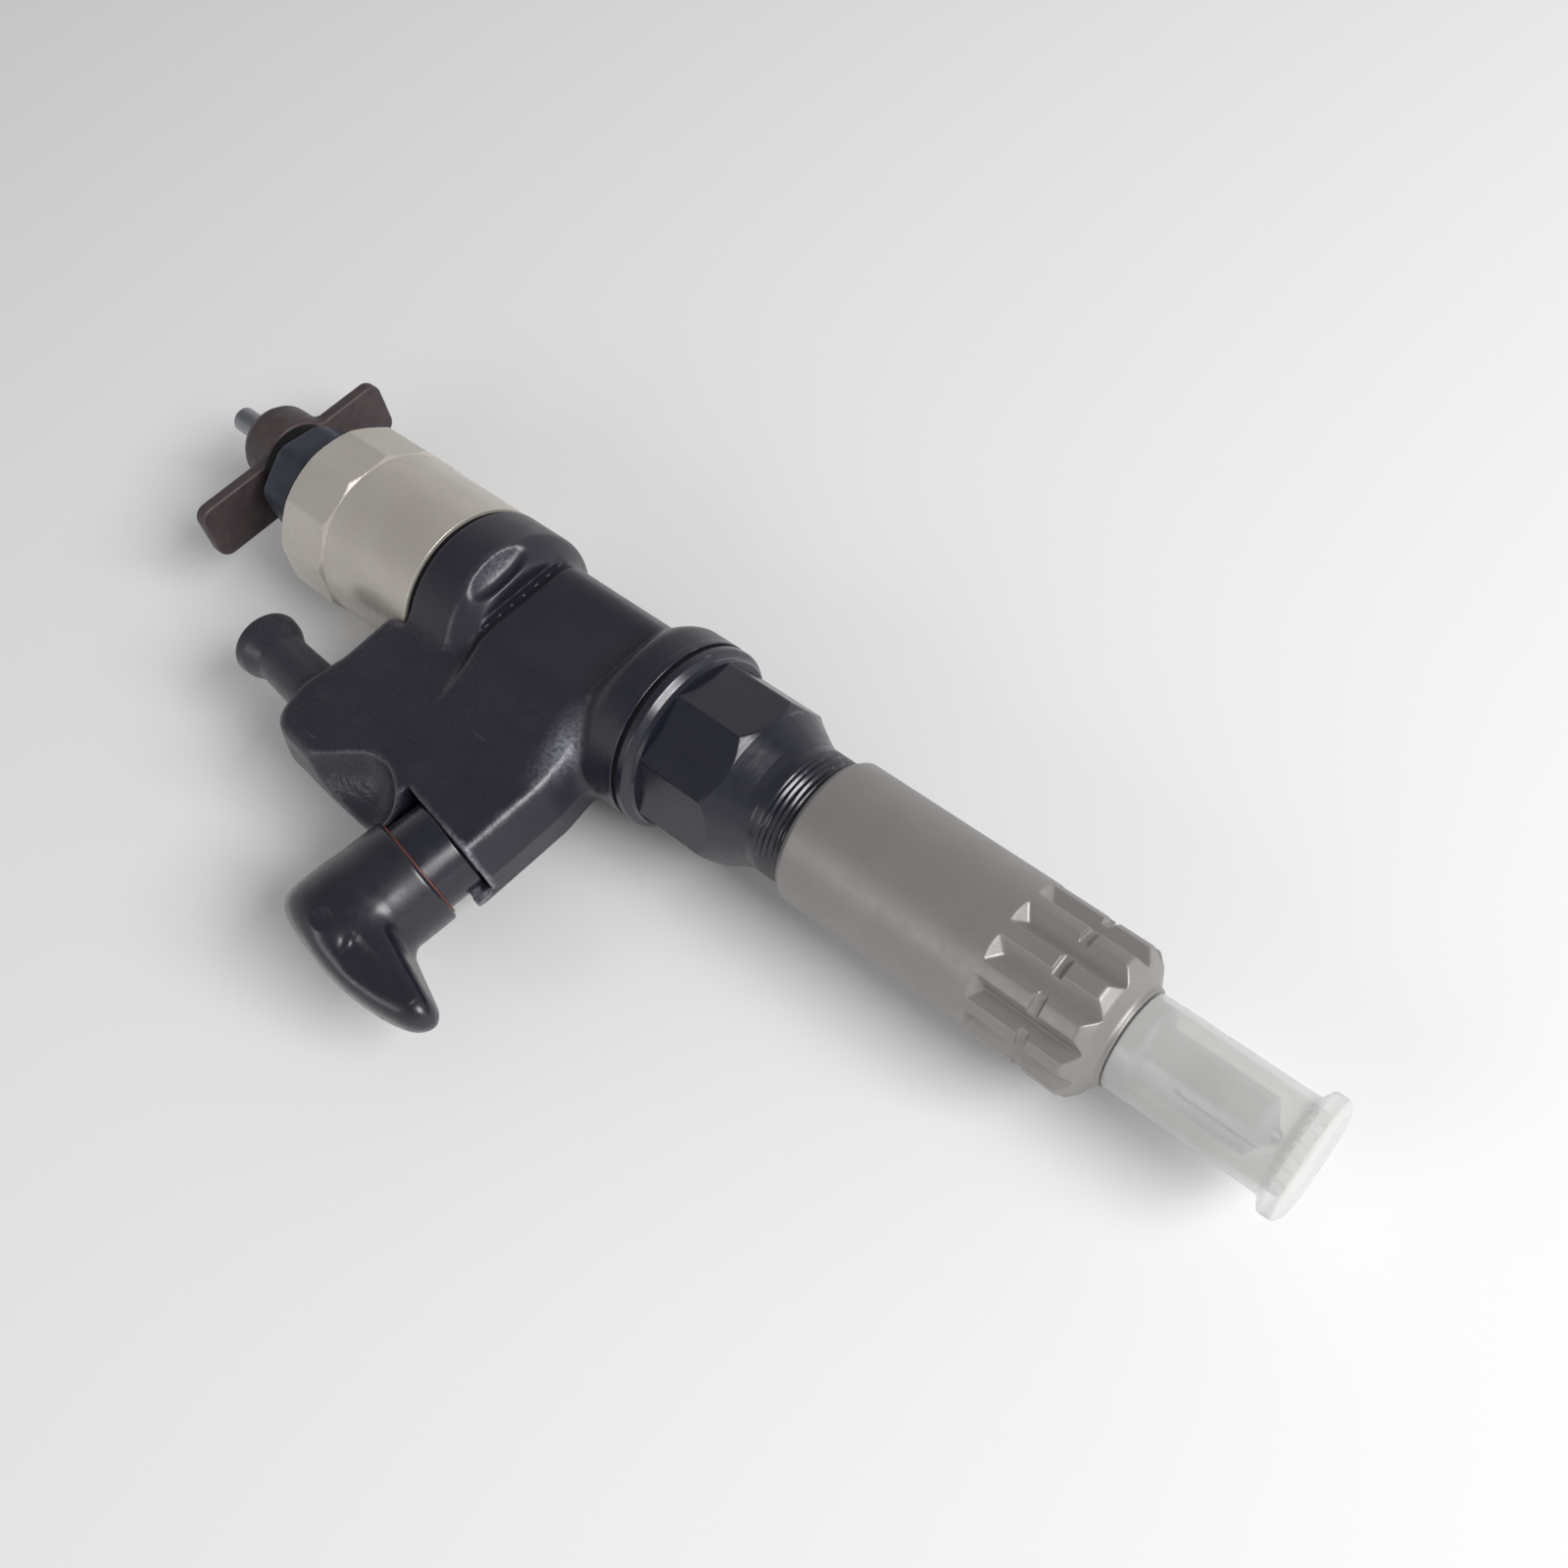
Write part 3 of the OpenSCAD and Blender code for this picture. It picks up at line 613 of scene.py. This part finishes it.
ARM_HALF = 6.0
ARM_EDGE = 1.2          # radius of the arm's edges
ARM_BULGE = 1.3         # how far the walls swell out at the parting line
SEAT_LEAN = math.radians(7)
SEAT_HEIGHT = 8.0       # of the flat above the main axis
RELIEF_HEIGHT = 6.8     # of the groove's floor behind the flat
RELIEF_WIDTH = 1.6
LEDGE_MIDDLE = (-66.1, 0.4, 12.3)
LEDGE_HALF = (1.8, 6.4, 2.7)
FORGING_END = -37.2     # the turned front takes over here
COLLAR_FRONT, WAIST_START, WAIST_END, FLANGE_BACK = -68.1, -63.9, -46.2, -40.6
WAIST_MIDDLE = -55
NUT_CLEARANCE_R = 12.75  # the arm keeps this far from the axis beside the solenoid nut
ARM_END = 28.5          # along the inlet axis
ARM_END_BELOW = 2.6     # how much further the arm reaches under the union
UNION_SIDE = -6.3       # the cut for the union stops this far from its axis, at the boss
SCOOP_END = (-62.2, -33.0, 7.0)
SCOOP_WAY = (-0.8, -0.6)
SCOOP_LENGTH, SCOOP_R = 40, 6.4
FLARE = (-43.9, -12)    # middle of the painted highlight patch where the arm meets the flange
ARM_LINE = rounded([
    (-43.4, -4, 1), (-43.2, -10.5, 4), (-42.8, -17.5, 8), (-44.3, -32.0, 0.6), (-62.5, -32.4, 3),
    (-70, -32.0, 3), (-79.4, -31.2, 3.4), (-80.6, -25, 4), (-78.9, -19, 8), (-78.0, -4, 1)])


def eased(x, x0, x1, r0, r1):
    """A radius that changes smoothly from r0 to r1 between two stations."""
    t = np.clip((x - x0) / (x1 - x0), 0, 1)
    return r1 + (r0 - r1) * (1 + np.cos(math.pi * t)) / 2


def body_radius(x):
    """Radius of the forged collar, the waist and the flange's back."""
    behind = eased(x, COLLAR_FRONT, WAIST_START, COLLAR_R, WAIST_R)
    ahead = eased(x, WAIST_END, FLANGE_BACK, WAIST_R, FLANGE_R)
    return np.where(x < WAIST_MIDDLE, behind, ahead)


def inlet_place(x, y):
    """Distance along the inlet axis, and sideways from it towards the nozzle."""
    dx = x - INLET_ORIGIN[0]
    return dx * INLET_DIR[0] + y * INLET_DIR[1], -dx * INLET_DIR[1] + y * INLET_DIR[0]


def arm_field(x, y, z):
    """The flat arm: its walls swell out towards the parting line, and its edges are rounded."""
    swell = ARM_BULGE * (1 - np.clip(np.abs(z) / ARM_HALF, 0, 1)) * smooth_steps(-y, 8, 14)
    a = outline_field(x, y, ARM_LINE) - swell + ARM_EDGE
    b = np.abs(z) - ARM_HALF + ARM_EDGE
    corner = np.sqrt(np.maximum(a, 0) ** 2 + np.maximum(b, 0) ** 2)
    field = corner + np.minimum(np.maximum(a, b), 0) - ARM_EDGE
    s, u = inlet_place(x, y)
    end = ARM_END + ARM_END_BELOW * smooth_steps(-z, 3.2, 3.8)
    field = cut(field, np.maximum(end - s, UNION_SIDE - u), 0.3)
    boss_x0, boss_x1, boss_y, slope, flatten = -60, -53.4, -28.4, 0.9, -0.74
    corner_slope = (z - ARM_HALF - slope * (y - boss_y)) * flatten
    corner_slope = np.maximum(corner_slope, np.maximum(boss_x0 - x, x - boss_x1))
    return cut(field, corner_slope, 0.4)


def seat_field(x, y, z):
    """What the fork clamp's seat takes away: flat, relief groove, and the ledge behind them."""
    h = y * math.sin(SEAT_LEAN) + z * math.cos(SEAT_LEAN)
    run_out = 1.25 * np.maximum(x + 45.2, 0) + 0.4 * np.maximum(x + 42.5, 0)
    flat = np.maximum(SEAT_HEIGHT + run_out - h, SEAT_BACK - 0.1 - x)
    relief = np.maximum(RELIEF_HEIGHT - h, np.maximum(SEAT_BACK - x, x - SEAT_BACK - RELIEF_WIDTH))
    return flat, relief, egg_field(x, y, z, LEDGE_MIDDLE, LEDGE_HALF)


def scoop_field(x, y, z):
    """The rounded scoop in the arm's corner, beside the inlet."""
    dx, dy, dz = x - SCOOP_END[0], y - SCOOP_END[1], z - SCOOP_END[2]
    along = np.clip(dx * SCOOP_WAY[0] + dy * SCOOP_WAY[1], 0, SCOOP_LENGTH)
    dx, dy = dx - along * SCOOP_WAY[0], dy - along * SCOOP_WAY[1]
    return np.sqrt(dx ** 2 + dy ** 2 + dz ** 2) - SCOOP_R


def forging_field(x, y, z):
    """Collar, waist and arm, from the solenoid nut to just short of the flange's groove."""
    rho = np.sqrt(y * y + z * z)
    field = common((rho - body_radius(x)) * 0.9, COLLAR_BACK - x, 0.5)
    in_waist = smooth_steps(x, -65, -62) * smooth_steps(-x, 43, 47)
    field = joined(field, arm_field(x, y, z), 2.2 + 6.5 * in_waist)
    field = cut(field, np.maximum(rho - NUT_CLEARANCE_R, x - COLLAR_BACK), 0.3)
    field = cut(field, scoop_field(x, y, z), 0.5)
    for flip in (1, -1):
        flat, relief, ledge = seat_field(x, y * flip, z * flip)
        field = cut(field, flat, 0.9)
        field = cut(field, ledge, 0.5)
        field = cut(field, relief, 0.45)
    return common(field, x - FORGING_END, 0.1)


def paint(piece, name, values):
    """Stores one number per point, for the material to read."""
    layer = piece.data.attributes.new(name, "FLOAT", "POINT")
    layer.data.foreach_set("value", np.asarray(values, np.float32))


def build_forging():
    """The forging, with its edges' wear, a painted highlight and its rough skin painted on the points."""
    def peeled(x, y, z):
        rough = smooth_steps(-y, 9, 13) * smooth_steps(-x, 42, 45)
        return forging_field(x, y, z) + 0.03 * rough * ripple(x, y, z, 3.2, 4)

    points, faces = meshed(peeled, (COLLAR_BACK - 7, -33.5, -13), (FORGING_END, 13, 13), 0.26)
    piece = add_mesh("body_forging", points, faces, CAST, "injector",
                     ["injector_body"], sharp=50)
    x, y, z = points.T
    around = 0.9
    probe = np.array([[around, 0, 0], [0, around, 0], [0, 0, around]])
    spread = sum(forging_field(*(points + d).T) + forging_field(*(points - d).T) for d in probe)
    curved = spread / around ** 2
    on_arm = smooth_steps(-y, 8, 12)
    # The arm's right edge gets a stronger lighter mark: a painted highlight where that edge catches the light.
    right_edge = smooth_steps(x, -50, -45) * on_arm
    wear_and_highlight = np.clip((curved - 0.5) * 0.9, 0, 1) * (0.25 * on_arm + 0.65 * right_edge)
    # A painted highlight patch where the arm meets the flange; it also roughens the skin there.
    patch = np.exp(-((x - FLARE[0]) / 1.5) ** 2 - ((y - FLARE[1]) / 4.0) ** 2)
    patch = patch * smooth_steps(z, 2.5, 5)
    # A lighter, rougher band painted along the ledge's upper rim.
    rim_x, rim_y = LEDGE_MIDDLE[0] - 1.5, LEDGE_MIDDLE[1]
    rim = np.exp(-((x - rim_x) / 0.7) ** 2 - ((y - rim_y) / 4.0) ** 2) * smooth_steps(z, 9, 10.5)
    paint(piece, "wear_and_highlight", np.clip(wear_and_highlight + 0.9 * patch + 0.4 * rim, 0, 1))
    rough_skin = on_arm * smooth_steps(-x, 42, 46) + patch + rim
    paint(piece, "peel", np.clip(0.05 + 0.95 * rough_skin, 0, 2))
    return piece


def build_front():
    """The turned flange, the octagon, the cone and the threaded neck."""
    flat = 10.57                                # from the axis to each of the eight flats
    octagon_start, octagon_end, cone_end = -33.9, -24.2, -19
    thread_start, thread_depth, pitch = -17.6, 0.26, 0.8
    profile = rounded([
        (-38.2, 0), (-38.2, FLANGE_R - 0.1, 0), (-37.9, FLANGE_R + 0.02, 0), (-36.9, FLANGE_R, 0.15),
        (-36.85, 11.75, 0.1), (-36.25, 11.75, 0.1), (-36.2, 12.45, 0.15), (-35.2, 12.42, 0.35),
        (-34.5, 11.65, 0.5), (octagon_start, 11.45, 0.2), (octagon_end, 11.44, 0.3), (-22.9, 10.55, 0.5),
        (-21.2, 9.6, 1), (-19.9, 8.9, 0.8), (-18.7, 8.45, 0.6), (-10, 8.45, 0), (-10, 0)], closed=False)
    line = densified(profile, 0.12, False)

    def shape(x, r, angle):
        corner = math.radians(-1.5)
        phase = (angle - corner) % (TAU / 8) - TAU / 16
        facet = flat / np.cos(phase)
        faceted = np.minimum(r, facet)
        on = (x > octagon_start - 0.01) & (x < cone_end)
        r = np.where(on, faceted, r)
        turn = (x / pitch - angle / TAU) % 1
        thread = thread_depth * (0.5 - 0.5 * np.cos(TAU * turn))
        threaded = (x > thread_start) & (r > 8)
        return r - np.where(threaded, thread, 0) * smooth_steps(x, thread_start, thread_start + 0.6)

    points, faces = turned(line, 320, shape)
    return add_mesh("body_front", points, faces, TURNED, "injector",
                    ["injector_body"], sharp=28)


# ---------------------------------------------------------------- nuts

def build_solenoid_nut():
    """A turned nut with drive flats at its outer end and a small ledge behind them."""
    r, corner_r = 12.2, 12.75
    count, first_flat = 12, math.radians(7)
    flat = corner_r * math.cos(math.pi / count)
    end, top = SOLENOID_END, SOLENOID_TOP
    ledge = top + 9.6
    section = rounded([
        (top, 8.9, 0.2), (top, 11.7, 0.35), (top + 1.0, corner_r, 0.3), (ledge - 0.55, corner_r, 0.1),
        (ledge + 0.05, r, 0.1), (end, r, 0.12),
        (end, 10.6, 0.1), (end - 3, 10.55, 0), (end - 3, 9.9, 0), (top + 2, 9.85, 0),
        (top + 2, 8.9, 0.1)])
    line = densified(section, 0.16, True)

    def shape(x, r, angle):
        phase = (angle + first_flat) % (TAU / count) - TAU / count / 2
        facet = flat / np.cos(phase)
        return np.where((x < ledge + 0.01) & (r > 11), np.minimum(r, facet), r)

    points, faces = turned(line, 336, shape, closed=True)
    return add_mesh("solenoid_nut_turned", points, faces, SILVER, "injector",
                    ["solenoid_nut"], sharp=16)


def build_nozzle_nut():
    """The retaining nut: splines cut with a wedge-shaped groove that runs out towards the barrel."""
    r = 9.5
    count, first_spline = 12, math.radians(4)
    start, ramp, depth, half = 13.5, 1.4, 1.3, 1.84
    slope = depth / half
    section = rounded([
        (NUT_BACK, 8.6, 0.1), (NUT_BACK, r - 0.5, 0.3), (NUT_BACK + 0.7, r, 0.6), (20.2, r, 0.1),
        (20.35, 8.95, 0.3), (21.45, 8.95, 0.3), (21.6, r, 0.1), (25.9, r, 0.8), (27.1, 8.35, 1.2),
        (28.2, 6.3, 1.0), (NUT_FRONT, 6.1, 0.15), (NUT_FRONT, 5.2, 0.15), (17, 5.2, 0), (17, 7.2, 0),
        (2, 7.2, 0), (2, 8.55, 0)])
    line = densified(section, 0.14, True)

    def shape(x, r_in, angle):
        phase = (angle + first_spline) % (TAU / count) - TAU / count / 2
        walls = (r - depth) / np.maximum(np.cos(phase) - slope * np.abs(np.sin(phase)), 0.05)
        wedge = (r - depth * (x - start) / ramp) / np.cos(phase)
        groove = -joined(-walls, -wedge, 0.2)
        lands = joined(r_in, groove, 0.1)
        return np.where((r_in > 7.6) & (x > start - 1), lands, r_in)

    points, faces = turned(line, 480, shape, closed=True)
    return add_mesh("nozzle_nut_turned", points, faces, PHOSPHATE, "injector",
                    ["nozzle_nut"], sharp=28)


# ---------------------------------------------------------------- nozzle cap

def build_nozzle_cap():
    """A tube closed at its end, with a toothed gripping rim and one rib along its side."""
    rim_start = CAP_END - 2.5
    rib_start, rib_end, rib_angle = 36, 47.6, math.radians(-35)
    teeth_count, tooth_depth, rib_height, rib_width = 30, 0.14, 0.2, 0.2
    outer = rounded([
        (CAP_START, 5.22, 0.1), (CAP_START, 5.8, 0.25), (rim_start - 0.6, 5.82, 0.5),
        (rim_start, 7.0, 0.3), (rim_start + 0.4, 7.2, 0.3), (CAP_END - 0.7, 7.15, 0.4),
        (CAP_END - 0.1, 6.2, 0.6),
        (CAP_END, 0)], closed=False)
    inner = rounded([
        (CAP_END - 1.4, 0), (CAP_END - 1.4, 4.9, 0.5), (CAP_START + 4, 5.2, 1),
        (CAP_START, 5.22)], closed=False)
    line = np.vstack([inner[:-1], outer])
    line = densified(line, 0.25, False)

    def shape(x, r, angle):
        rim = smooth_steps(x, rim_start - 0.2, rim_start + 0.3)
        rim = rim * smooth_steps(-x, -CAP_END + 0.2, -CAP_END + 1)
        outside = r > 5.5
        teeth = tooth_depth * smooth_steps(np.cos(angle * teeth_count), 0.2, 0.9) * rim * outside
        teeth = teeth * smooth_steps(-x, -CAP_END + 0.7, -CAP_END + 1.3)
        away = (angle - rib_angle + math.pi) % TAU - math.pi
        along = smooth_steps(x, rib_start, rib_start + 1) * smooth_steps(-x, -rib_end, -rib_end + 0.8)
        rib = rib_height * np.exp(-(away * r / rib_width) ** 2) * along * outside * (r < 6.2)
        return r - teeth + rib

    points, faces = turned(line, 416, shape)
    return add_mesh("nozzle_cap_tube", points, faces, MILKY, "nozzle_cap",
                    ["nozzle_cap"], sharp=40)


# ---------------------------------------------------------------- inlet

def build_union():
    """The pipe connector. Its thread and cone are under the inlet cap."""
    r, pitch, thread_start, thread_end = 6.2, 1.5, 35.2, 44.6
    profile = rounded([
        (27, 0), (27, r - 0.7, 0), (28.6, r - 0.7, 0), (28.7, r, 0.3), (34.6, r, 0.2),
        (35.2, 5.7, 0.3), (44.5, 5.7, 0.2), (45.5, 4.9, 0.2),
        (45.5, 4.3, 0.1), (43.4, 2.3, 0.2), (31, 2.3, 0), (31, 0)], closed=False)

    def shape(x, rr, angle):
        turn = (x / pitch - angle / TAU) % 1
        crest = smooth_steps(x, thread_start, thread_start + 1.2) * (rr > 5.2)
        crest = crest * smooth_steps(-x, -thread_end, -thread_end + 1)
        return rr + crest * (0.45 - 0.9 * np.abs(turn - 0.5))

    points, faces = turned(densified(profile, 0.16, False), 160, shape)
    return add_mesh("inlet_union_turned", points, faces, TURNED, "injector",
                    ["inlet_union"], INLET_FRAME, sharp=30)


CRINKLES = ((45.6, 2.0, 1.0), (44.9, 6.3, 1.3))     # along and across the inlet, and their size


def build_inlet_cap():
    """A cap with a pull tab. Here s runs outwards along the inlet and u leans towards the nozzle."""
    r, mouth, end = 7.45, 33.8, 49.8
    tip_u, tip_r = 15.4, 3.2
    lean = math.atan2(r - tip_r - 0.3, tip_u)

    def plan(u, v):
        """Distance to the outline that wraps the round cap and the round tip."""
        v = np.abs(v)
        along = u * math.cos(lean)
        side = u * math.sin(lean) + v * math.cos(lean) - (r - 0.35)
        near = np.sqrt(u * u + v * v) - (r - 0.35)
        far = np.sqrt((u - tip_u) ** 2 + v * v) - tip_r
        between = (along > v * math.sin(lean)) & ((tip_u - u) * math.cos(lean) > -v * math.sin(lean))
        return np.where(between, side, np.minimum(near, far))

    def field(s, u, v):
        rho = np.sqrt(u * u + v * v)
        roof = end - 0.1 - 0.03 * v * v - 0.02 * np.maximum(u, 0)
        roof = roof - 0.0165 * np.maximum(u - 3, 0) ** 2 - 0.012 * np.minimum(u, 0) ** 2
        floor = 40.6 + 0.16 * np.maximum(u - 7, 0)
        tab = common(plan(u, v), floor - s, 2.4)
        shape = joined(rho - r + 0.02 * np.maximum(s - 44, 0) ** 2, tab, 1.5)
        shape = common(shape, s - roof, 2.6)
        shape = common(shape, mouth - s, 0.5)
        dish = np.exp(-((s - 46.2 + 0.1 * u) / 1.7) ** 2 - ((u - 8.5) / 4.6) ** 2) * (v > 0)
        ridge = np.exp(-((s - 44.6 + 0.16 * u) / 0.5) ** 2 - ((u - 7.5) / 4.5) ** 2) * (v > 0)
        shape = shape + 0.5 * dish - 0.12 * ridge
        for at_s, at_u, size in CRINKLES:
            for side in (1, -1):
                away = ((s - at_s) ** 2 + (u - at_u) ** 2) / size ** 2
                crumple = 1 + 0.45 * ripple(s, u, v, 1.3, 9)
                ring = np.exp(-(np.sqrt(away) - 1.5) ** 2 * 5)
                shape = shape + (0.3 * np.exp(-away) * crumple - 0.08 * ring) * (v * side > 0)
        shape = shape + 0.025 * ripple(s, u, v, 5.0, 11)
        bore = np.maximum(rho - 6.28, s - 46.2)
        return cut(shape, bore, 0.25)

    points, faces = meshed(field, (mouth, -8, -8), (end + 0.5, 19.2, 8), 0.25)
    return add_mesh("inlet_cap_moulded", points, faces, GLOSSY, "inlet_cap",
                    ["inlet_cap"], INLET_FRAME, sharp=60)


def build_ring(name, x0, x1, inner, outer, material, body, node, place=None, edge=0.2):
    """A plain ring with rounded edges."""
    line = rounded([(x0, inner, edge / 2), (x0, outer, edge), (x1, outer, edge), (x1, inner, edge / 2)])
    points, faces = turned(densified(line, 0.3, True), 160, None, closed=True)
    return add_mesh(name, points, faces, material, body, [node], place, sharp=50)


def build_leak_off():
    """The return connector: a tube with a bead at its end, leaning a little."""
    r, tilt, root = 3.9, 180 - 4.6, (-76.2, -24.5, 0.5)
    profile = rounded([
        (0, 0), (0, r - 0.1, 0), (6, r - 0.1, 5), (14.6, r - 0.35, 2.0), (17.0, r + 0.65, 0.9),
        (18.6, r + 0.85, 0.5), (19.1, r + 0.3, 0.3), (19.1, 2.5, 0.4), (6, 2.2, 0),
        (6, 0)], closed=False)
    points, faces = turned(densified(profile, 0.3, False), 128)
    place = Matrix.Translation(root) @ Matrix.Rotation(math.radians(tilt), 4, "Z")
    piece = add_mesh("leak_off_turned", points, faces, CAST, "injector",
                     ["leak_off_nipple"], place, sharp=40)
    count = len(piece.data.vertices)
    paint(piece, "wear_and_highlight", np.full(count, 0.05))
    paint(piece, "peel", np.full(count, 0.3))
    return piece


# ---------------------------------------------------------------- terminal

def build_terminal_block():
    """A moulded drum with eight facets, a step at one side and a parting seam."""
    r, corner_r, flat, foot, seam_x = 8.5, 8.75, 8.3, -100.9, -106.4

    def field(x, y, z):
        rho = np.sqrt(y * y + z * z)
        sector = (np.arctan2(y, z) + math.radians(10)) % (TAU / 8) - TAU / 16
        faceted = common(rho - corner_r, rho * np.cos(sector) - flat, 0.2)
        side = np.where(x < BLOCK_FOOT - 2, faceted, rho - r)
        drum = common(side, np.maximum(BLOCK_TOP - x, x - foot), 0.5)
        step = box_field(x, y, z, (BLOCK_TOP, -10.6, 0), (3.6, 3.0, 12), 0.2)
        drum = cut(drum, step, 0.35)
        seam = np.abs(x - seam_x) - 0.12
        groove = np.maximum(seam, (r - 0.12) - rho)
        return cut(drum, groove, 0.15)

    points, faces = meshed(field, (BLOCK_TOP, -9, -9), (-100.8, 9, 9), 0.25)
    return add_mesh("terminal_block_moulded", points, faces, SLATE, "injector",
                    ["terminal_block"], sharp=40)


def build_insulator():
    """A hub with two flat wings, rolled a little about the main axis."""
    low, high = node_box("terminal_insulator")
    wing_back = WING_FRONT - 2
    half_y, half_z, corner = 16.6, 4.5, 2
    lean = math.radians(-5)

    def field(x, y, z):
        across = (y - 0.4) * math.cos(lean) + z * math.sin(lean)
        up = z * math.cos(lean) - (y - 0.4) * math.sin(lean) + 0.5
        yy = np.abs(across) - (half_y - corner)
        zz = np.abs(up) - (half_z - corner)
        plan = np.sqrt(np.maximum(yy, 0) ** 2 + np.maximum(zz, 0) ** 2)
        plan = plan + np.minimum(np.maximum(yy, zz), 0) - corner
        plate = common(plan, np.maximum(wing_back - x, x - WING_FRONT), 0.5)
        rho = np.sqrt((y - TERMINAL[1]) ** 2 + (z - TERMINAL[2]) ** 2)
        cone = np.minimum(5.0 + (x - HUB_END) * 0.55, 5.9 + (x + 122.2) * 0.02)
        hub = common((rho - cone) * 0.9, np.maximum(HUB_END - x, x - WING_FRONT + 0.3), 0.8)
        whole = joined(plate, hub, 0.7)
        recess = np.maximum(rho - 2.5, x - HUB_END - 0.5)
        return cut(whole, recess, 0.3)

    points, faces = meshed(field, (HUB_END, low[1], -7.2), (WING_FRONT, high[1], 7.2), 0.25)
    return add_mesh("insulator_moulded", points, faces, BROWN, "injector",
                    ["terminal_insulator"], sharp=45)


def build_seal():
    """The washer between the block and the insulator."""
    profile = rounded([
        (WING_FRONT, 0), (WING_FRONT, 6.4, 0.5), (BLOCK_TOP, 6.9, 0.5), (BLOCK_TOP, 0)], closed=False)
    points, faces = turned(densified(profile, 0.3, False), 128)
    points = points + TERMINAL / 2
    return add_mesh("terminal_seal_moulded", points, faces, RUBBER, "injector",
                    ["terminal_seal"], sharp=50)


def build_stud():
    """The terminal stud, plain with a chamfered end."""
    profile = rounded([
        (STUD_TIP, 0), (STUD_TIP, 1.45, 0.15), (STUD_TIP + 0.45, 1.9, 0.15), (HUB_END + 0.5, 1.9, 0),
        (STUD_FOOT, 1.85, 0), (STUD_FOOT, 0)], closed=False)
    points, faces = turned(densified(profile, 0.4, False), 96)
    points = points + TERMINAL
    return add_mesh("stud_turned", points, faces, BRIGHT, "injector",
                    ["terminal_stud"], sharp=40)


# ---------------------------------------------------------------- build it all

dress_cad_nodes()
build_forging()
build_front()
build_solenoid_nut()
build_nozzle_nut()
build_nozzle_cap()
build_union()
build_inlet_cap()
build_leak_off()
build_terminal_block()
build_insulator()
build_seal()
build_stud()
build_ring("flange_ring_round", -36.84, -36.26, 11.75, 12.3, RUBBER, "injector",
           "flange_seal_ring")
build_ring("collar_ring_round", SOLENOID_END + 0.05, COLLAR_BACK - 0.05, 10.55, 11.85, RUBBER,
           "injector", "collar_seal_ring", edge=0.35)
build_ring("inlet_ring_round", 33.55, 33.9, 6.25, 6.75, RED_BROWN, "inlet_cap",
           "inlet_cap_ring", INLET_FRAME, edge=0.12)


# ---------------------------------------------------------------- studio

MIDDLE = (-0.04, 0, 0)                          # what the lamps aim at, in metres
SKY_LOW, SKY_HIGH = 0.1, 0.8                    # heights between which the sky darkens
HORIZON_STRENGTH, ZENITH_STRENGTH = 0.62, 0.24
FLOOR_SIZE, FLOOR_GAP = 4, 0.00005


def add_floor():
    """A plain pale floor just under the lowest point."""
    low = min(cad_box[0][2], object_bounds()[0][2])
    bpy.ops.mesh.primitive_plane_add(size=FLOOR_SIZE, location=(0, 0, low - FLOOR_GAP))
    floor = bpy.context.object
    floor.name = "studio_floor"
    m = Shader("studio_floor", (0.9, 0.9, 0.9, 1), 0.9)
    floor.data.materials.append(m.material)


def add_light(name, place, size, power):
    """A rectangular white lamp, in metres and watts, that faces the middle of the object."""
    light = bpy.data.lights.new(name, "AREA")
    light.shape = "RECTANGLE"
    light.size, light.size_y = size
    light.energy = power
    lamp = bpy.data.objects.new(name, light)
    bpy.context.scene.collection.objects.link(lamp)
    way = Vector(MIDDLE) - Vector(place)
    lamp.rotation_euler = way.to_track_quat("-Z", "Y").to_euler()
    lamp.location = place


def add_camera():
    """The camera's own axes, as columns: right, up, and backwards from the view."""
    camera = bpy.data.cameras.new("camera")
    camera.lens, camera.sensor_width = 36.1, 36
    camera.clip_start, camera.clip_end = 0.01, 10
    holder = bpy.data.objects.new("camera", camera)
    bpy.context.scene.collection.objects.link(holder)
    right = (0.73915, 0.64822, -0.18298)
    up = (-0.49954, 0.70980, 0.49664)
    back = (0.45180, -0.27568, 0.84846)
    place = (0.06286, -0.04992, 0.15908)
    rows = [(*row, at) for *row, at in zip(right, up, back, place)]
    holder.matrix_world = Matrix(rows + [(0, 0, 0, 1)])
    bpy.context.scene.camera = holder


def add_world():
    """A white sky, dimmer overhead than at the horizon, so that glossy black keeps its depth."""
    world = bpy.data.worlds.new("studio")
    world.use_nodes = True
    tree = world.node_tree
    direction = tree.nodes.new("ShaderNodeTexCoord").outputs["Generated"]
    parts = tree.nodes.new("ShaderNodeSeparateXYZ")
    tree.links.new(direction, parts.inputs[0])
    height = tree.nodes.new("ShaderNodeMapRange")
    height.interpolation_type = "SMOOTHSTEP"
    for socket, number in zip(RANGE_SOCKETS, (SKY_LOW, SKY_HIGH, HORIZON_STRENGTH, ZENITH_STRENGTH)):
        height.inputs[socket].default_value = number
    tree.links.new(parts.outputs["Z"], height.inputs["Value"])
    sky = tree.nodes["Background"]
    sky.inputs["Color"].default_value = (1, 1, 1, 1)
    tree.links.new(height.outputs["Result"], sky.inputs["Strength"])
    bpy.context.scene.world = world


def lamp_at(direction, distance):
    """A place in the given direction from the middle of the object."""
    direction = np.array(direction, float)
    return tuple(direction / np.linalg.norm(direction) * distance + np.array(MIDDLE))


add_floor()
add_camera()
add_world()
add_light("key", lamp_at((0.78, 0.14, 0.62), 0.75), (0.4, 0.3), 5)
add_light("side", lamp_at((-0.2, -1.0, 0.6), 0.8), (0.3, 0.3), 0.7)
bpy.context.scene.view_settings.view_transform = "Standard"
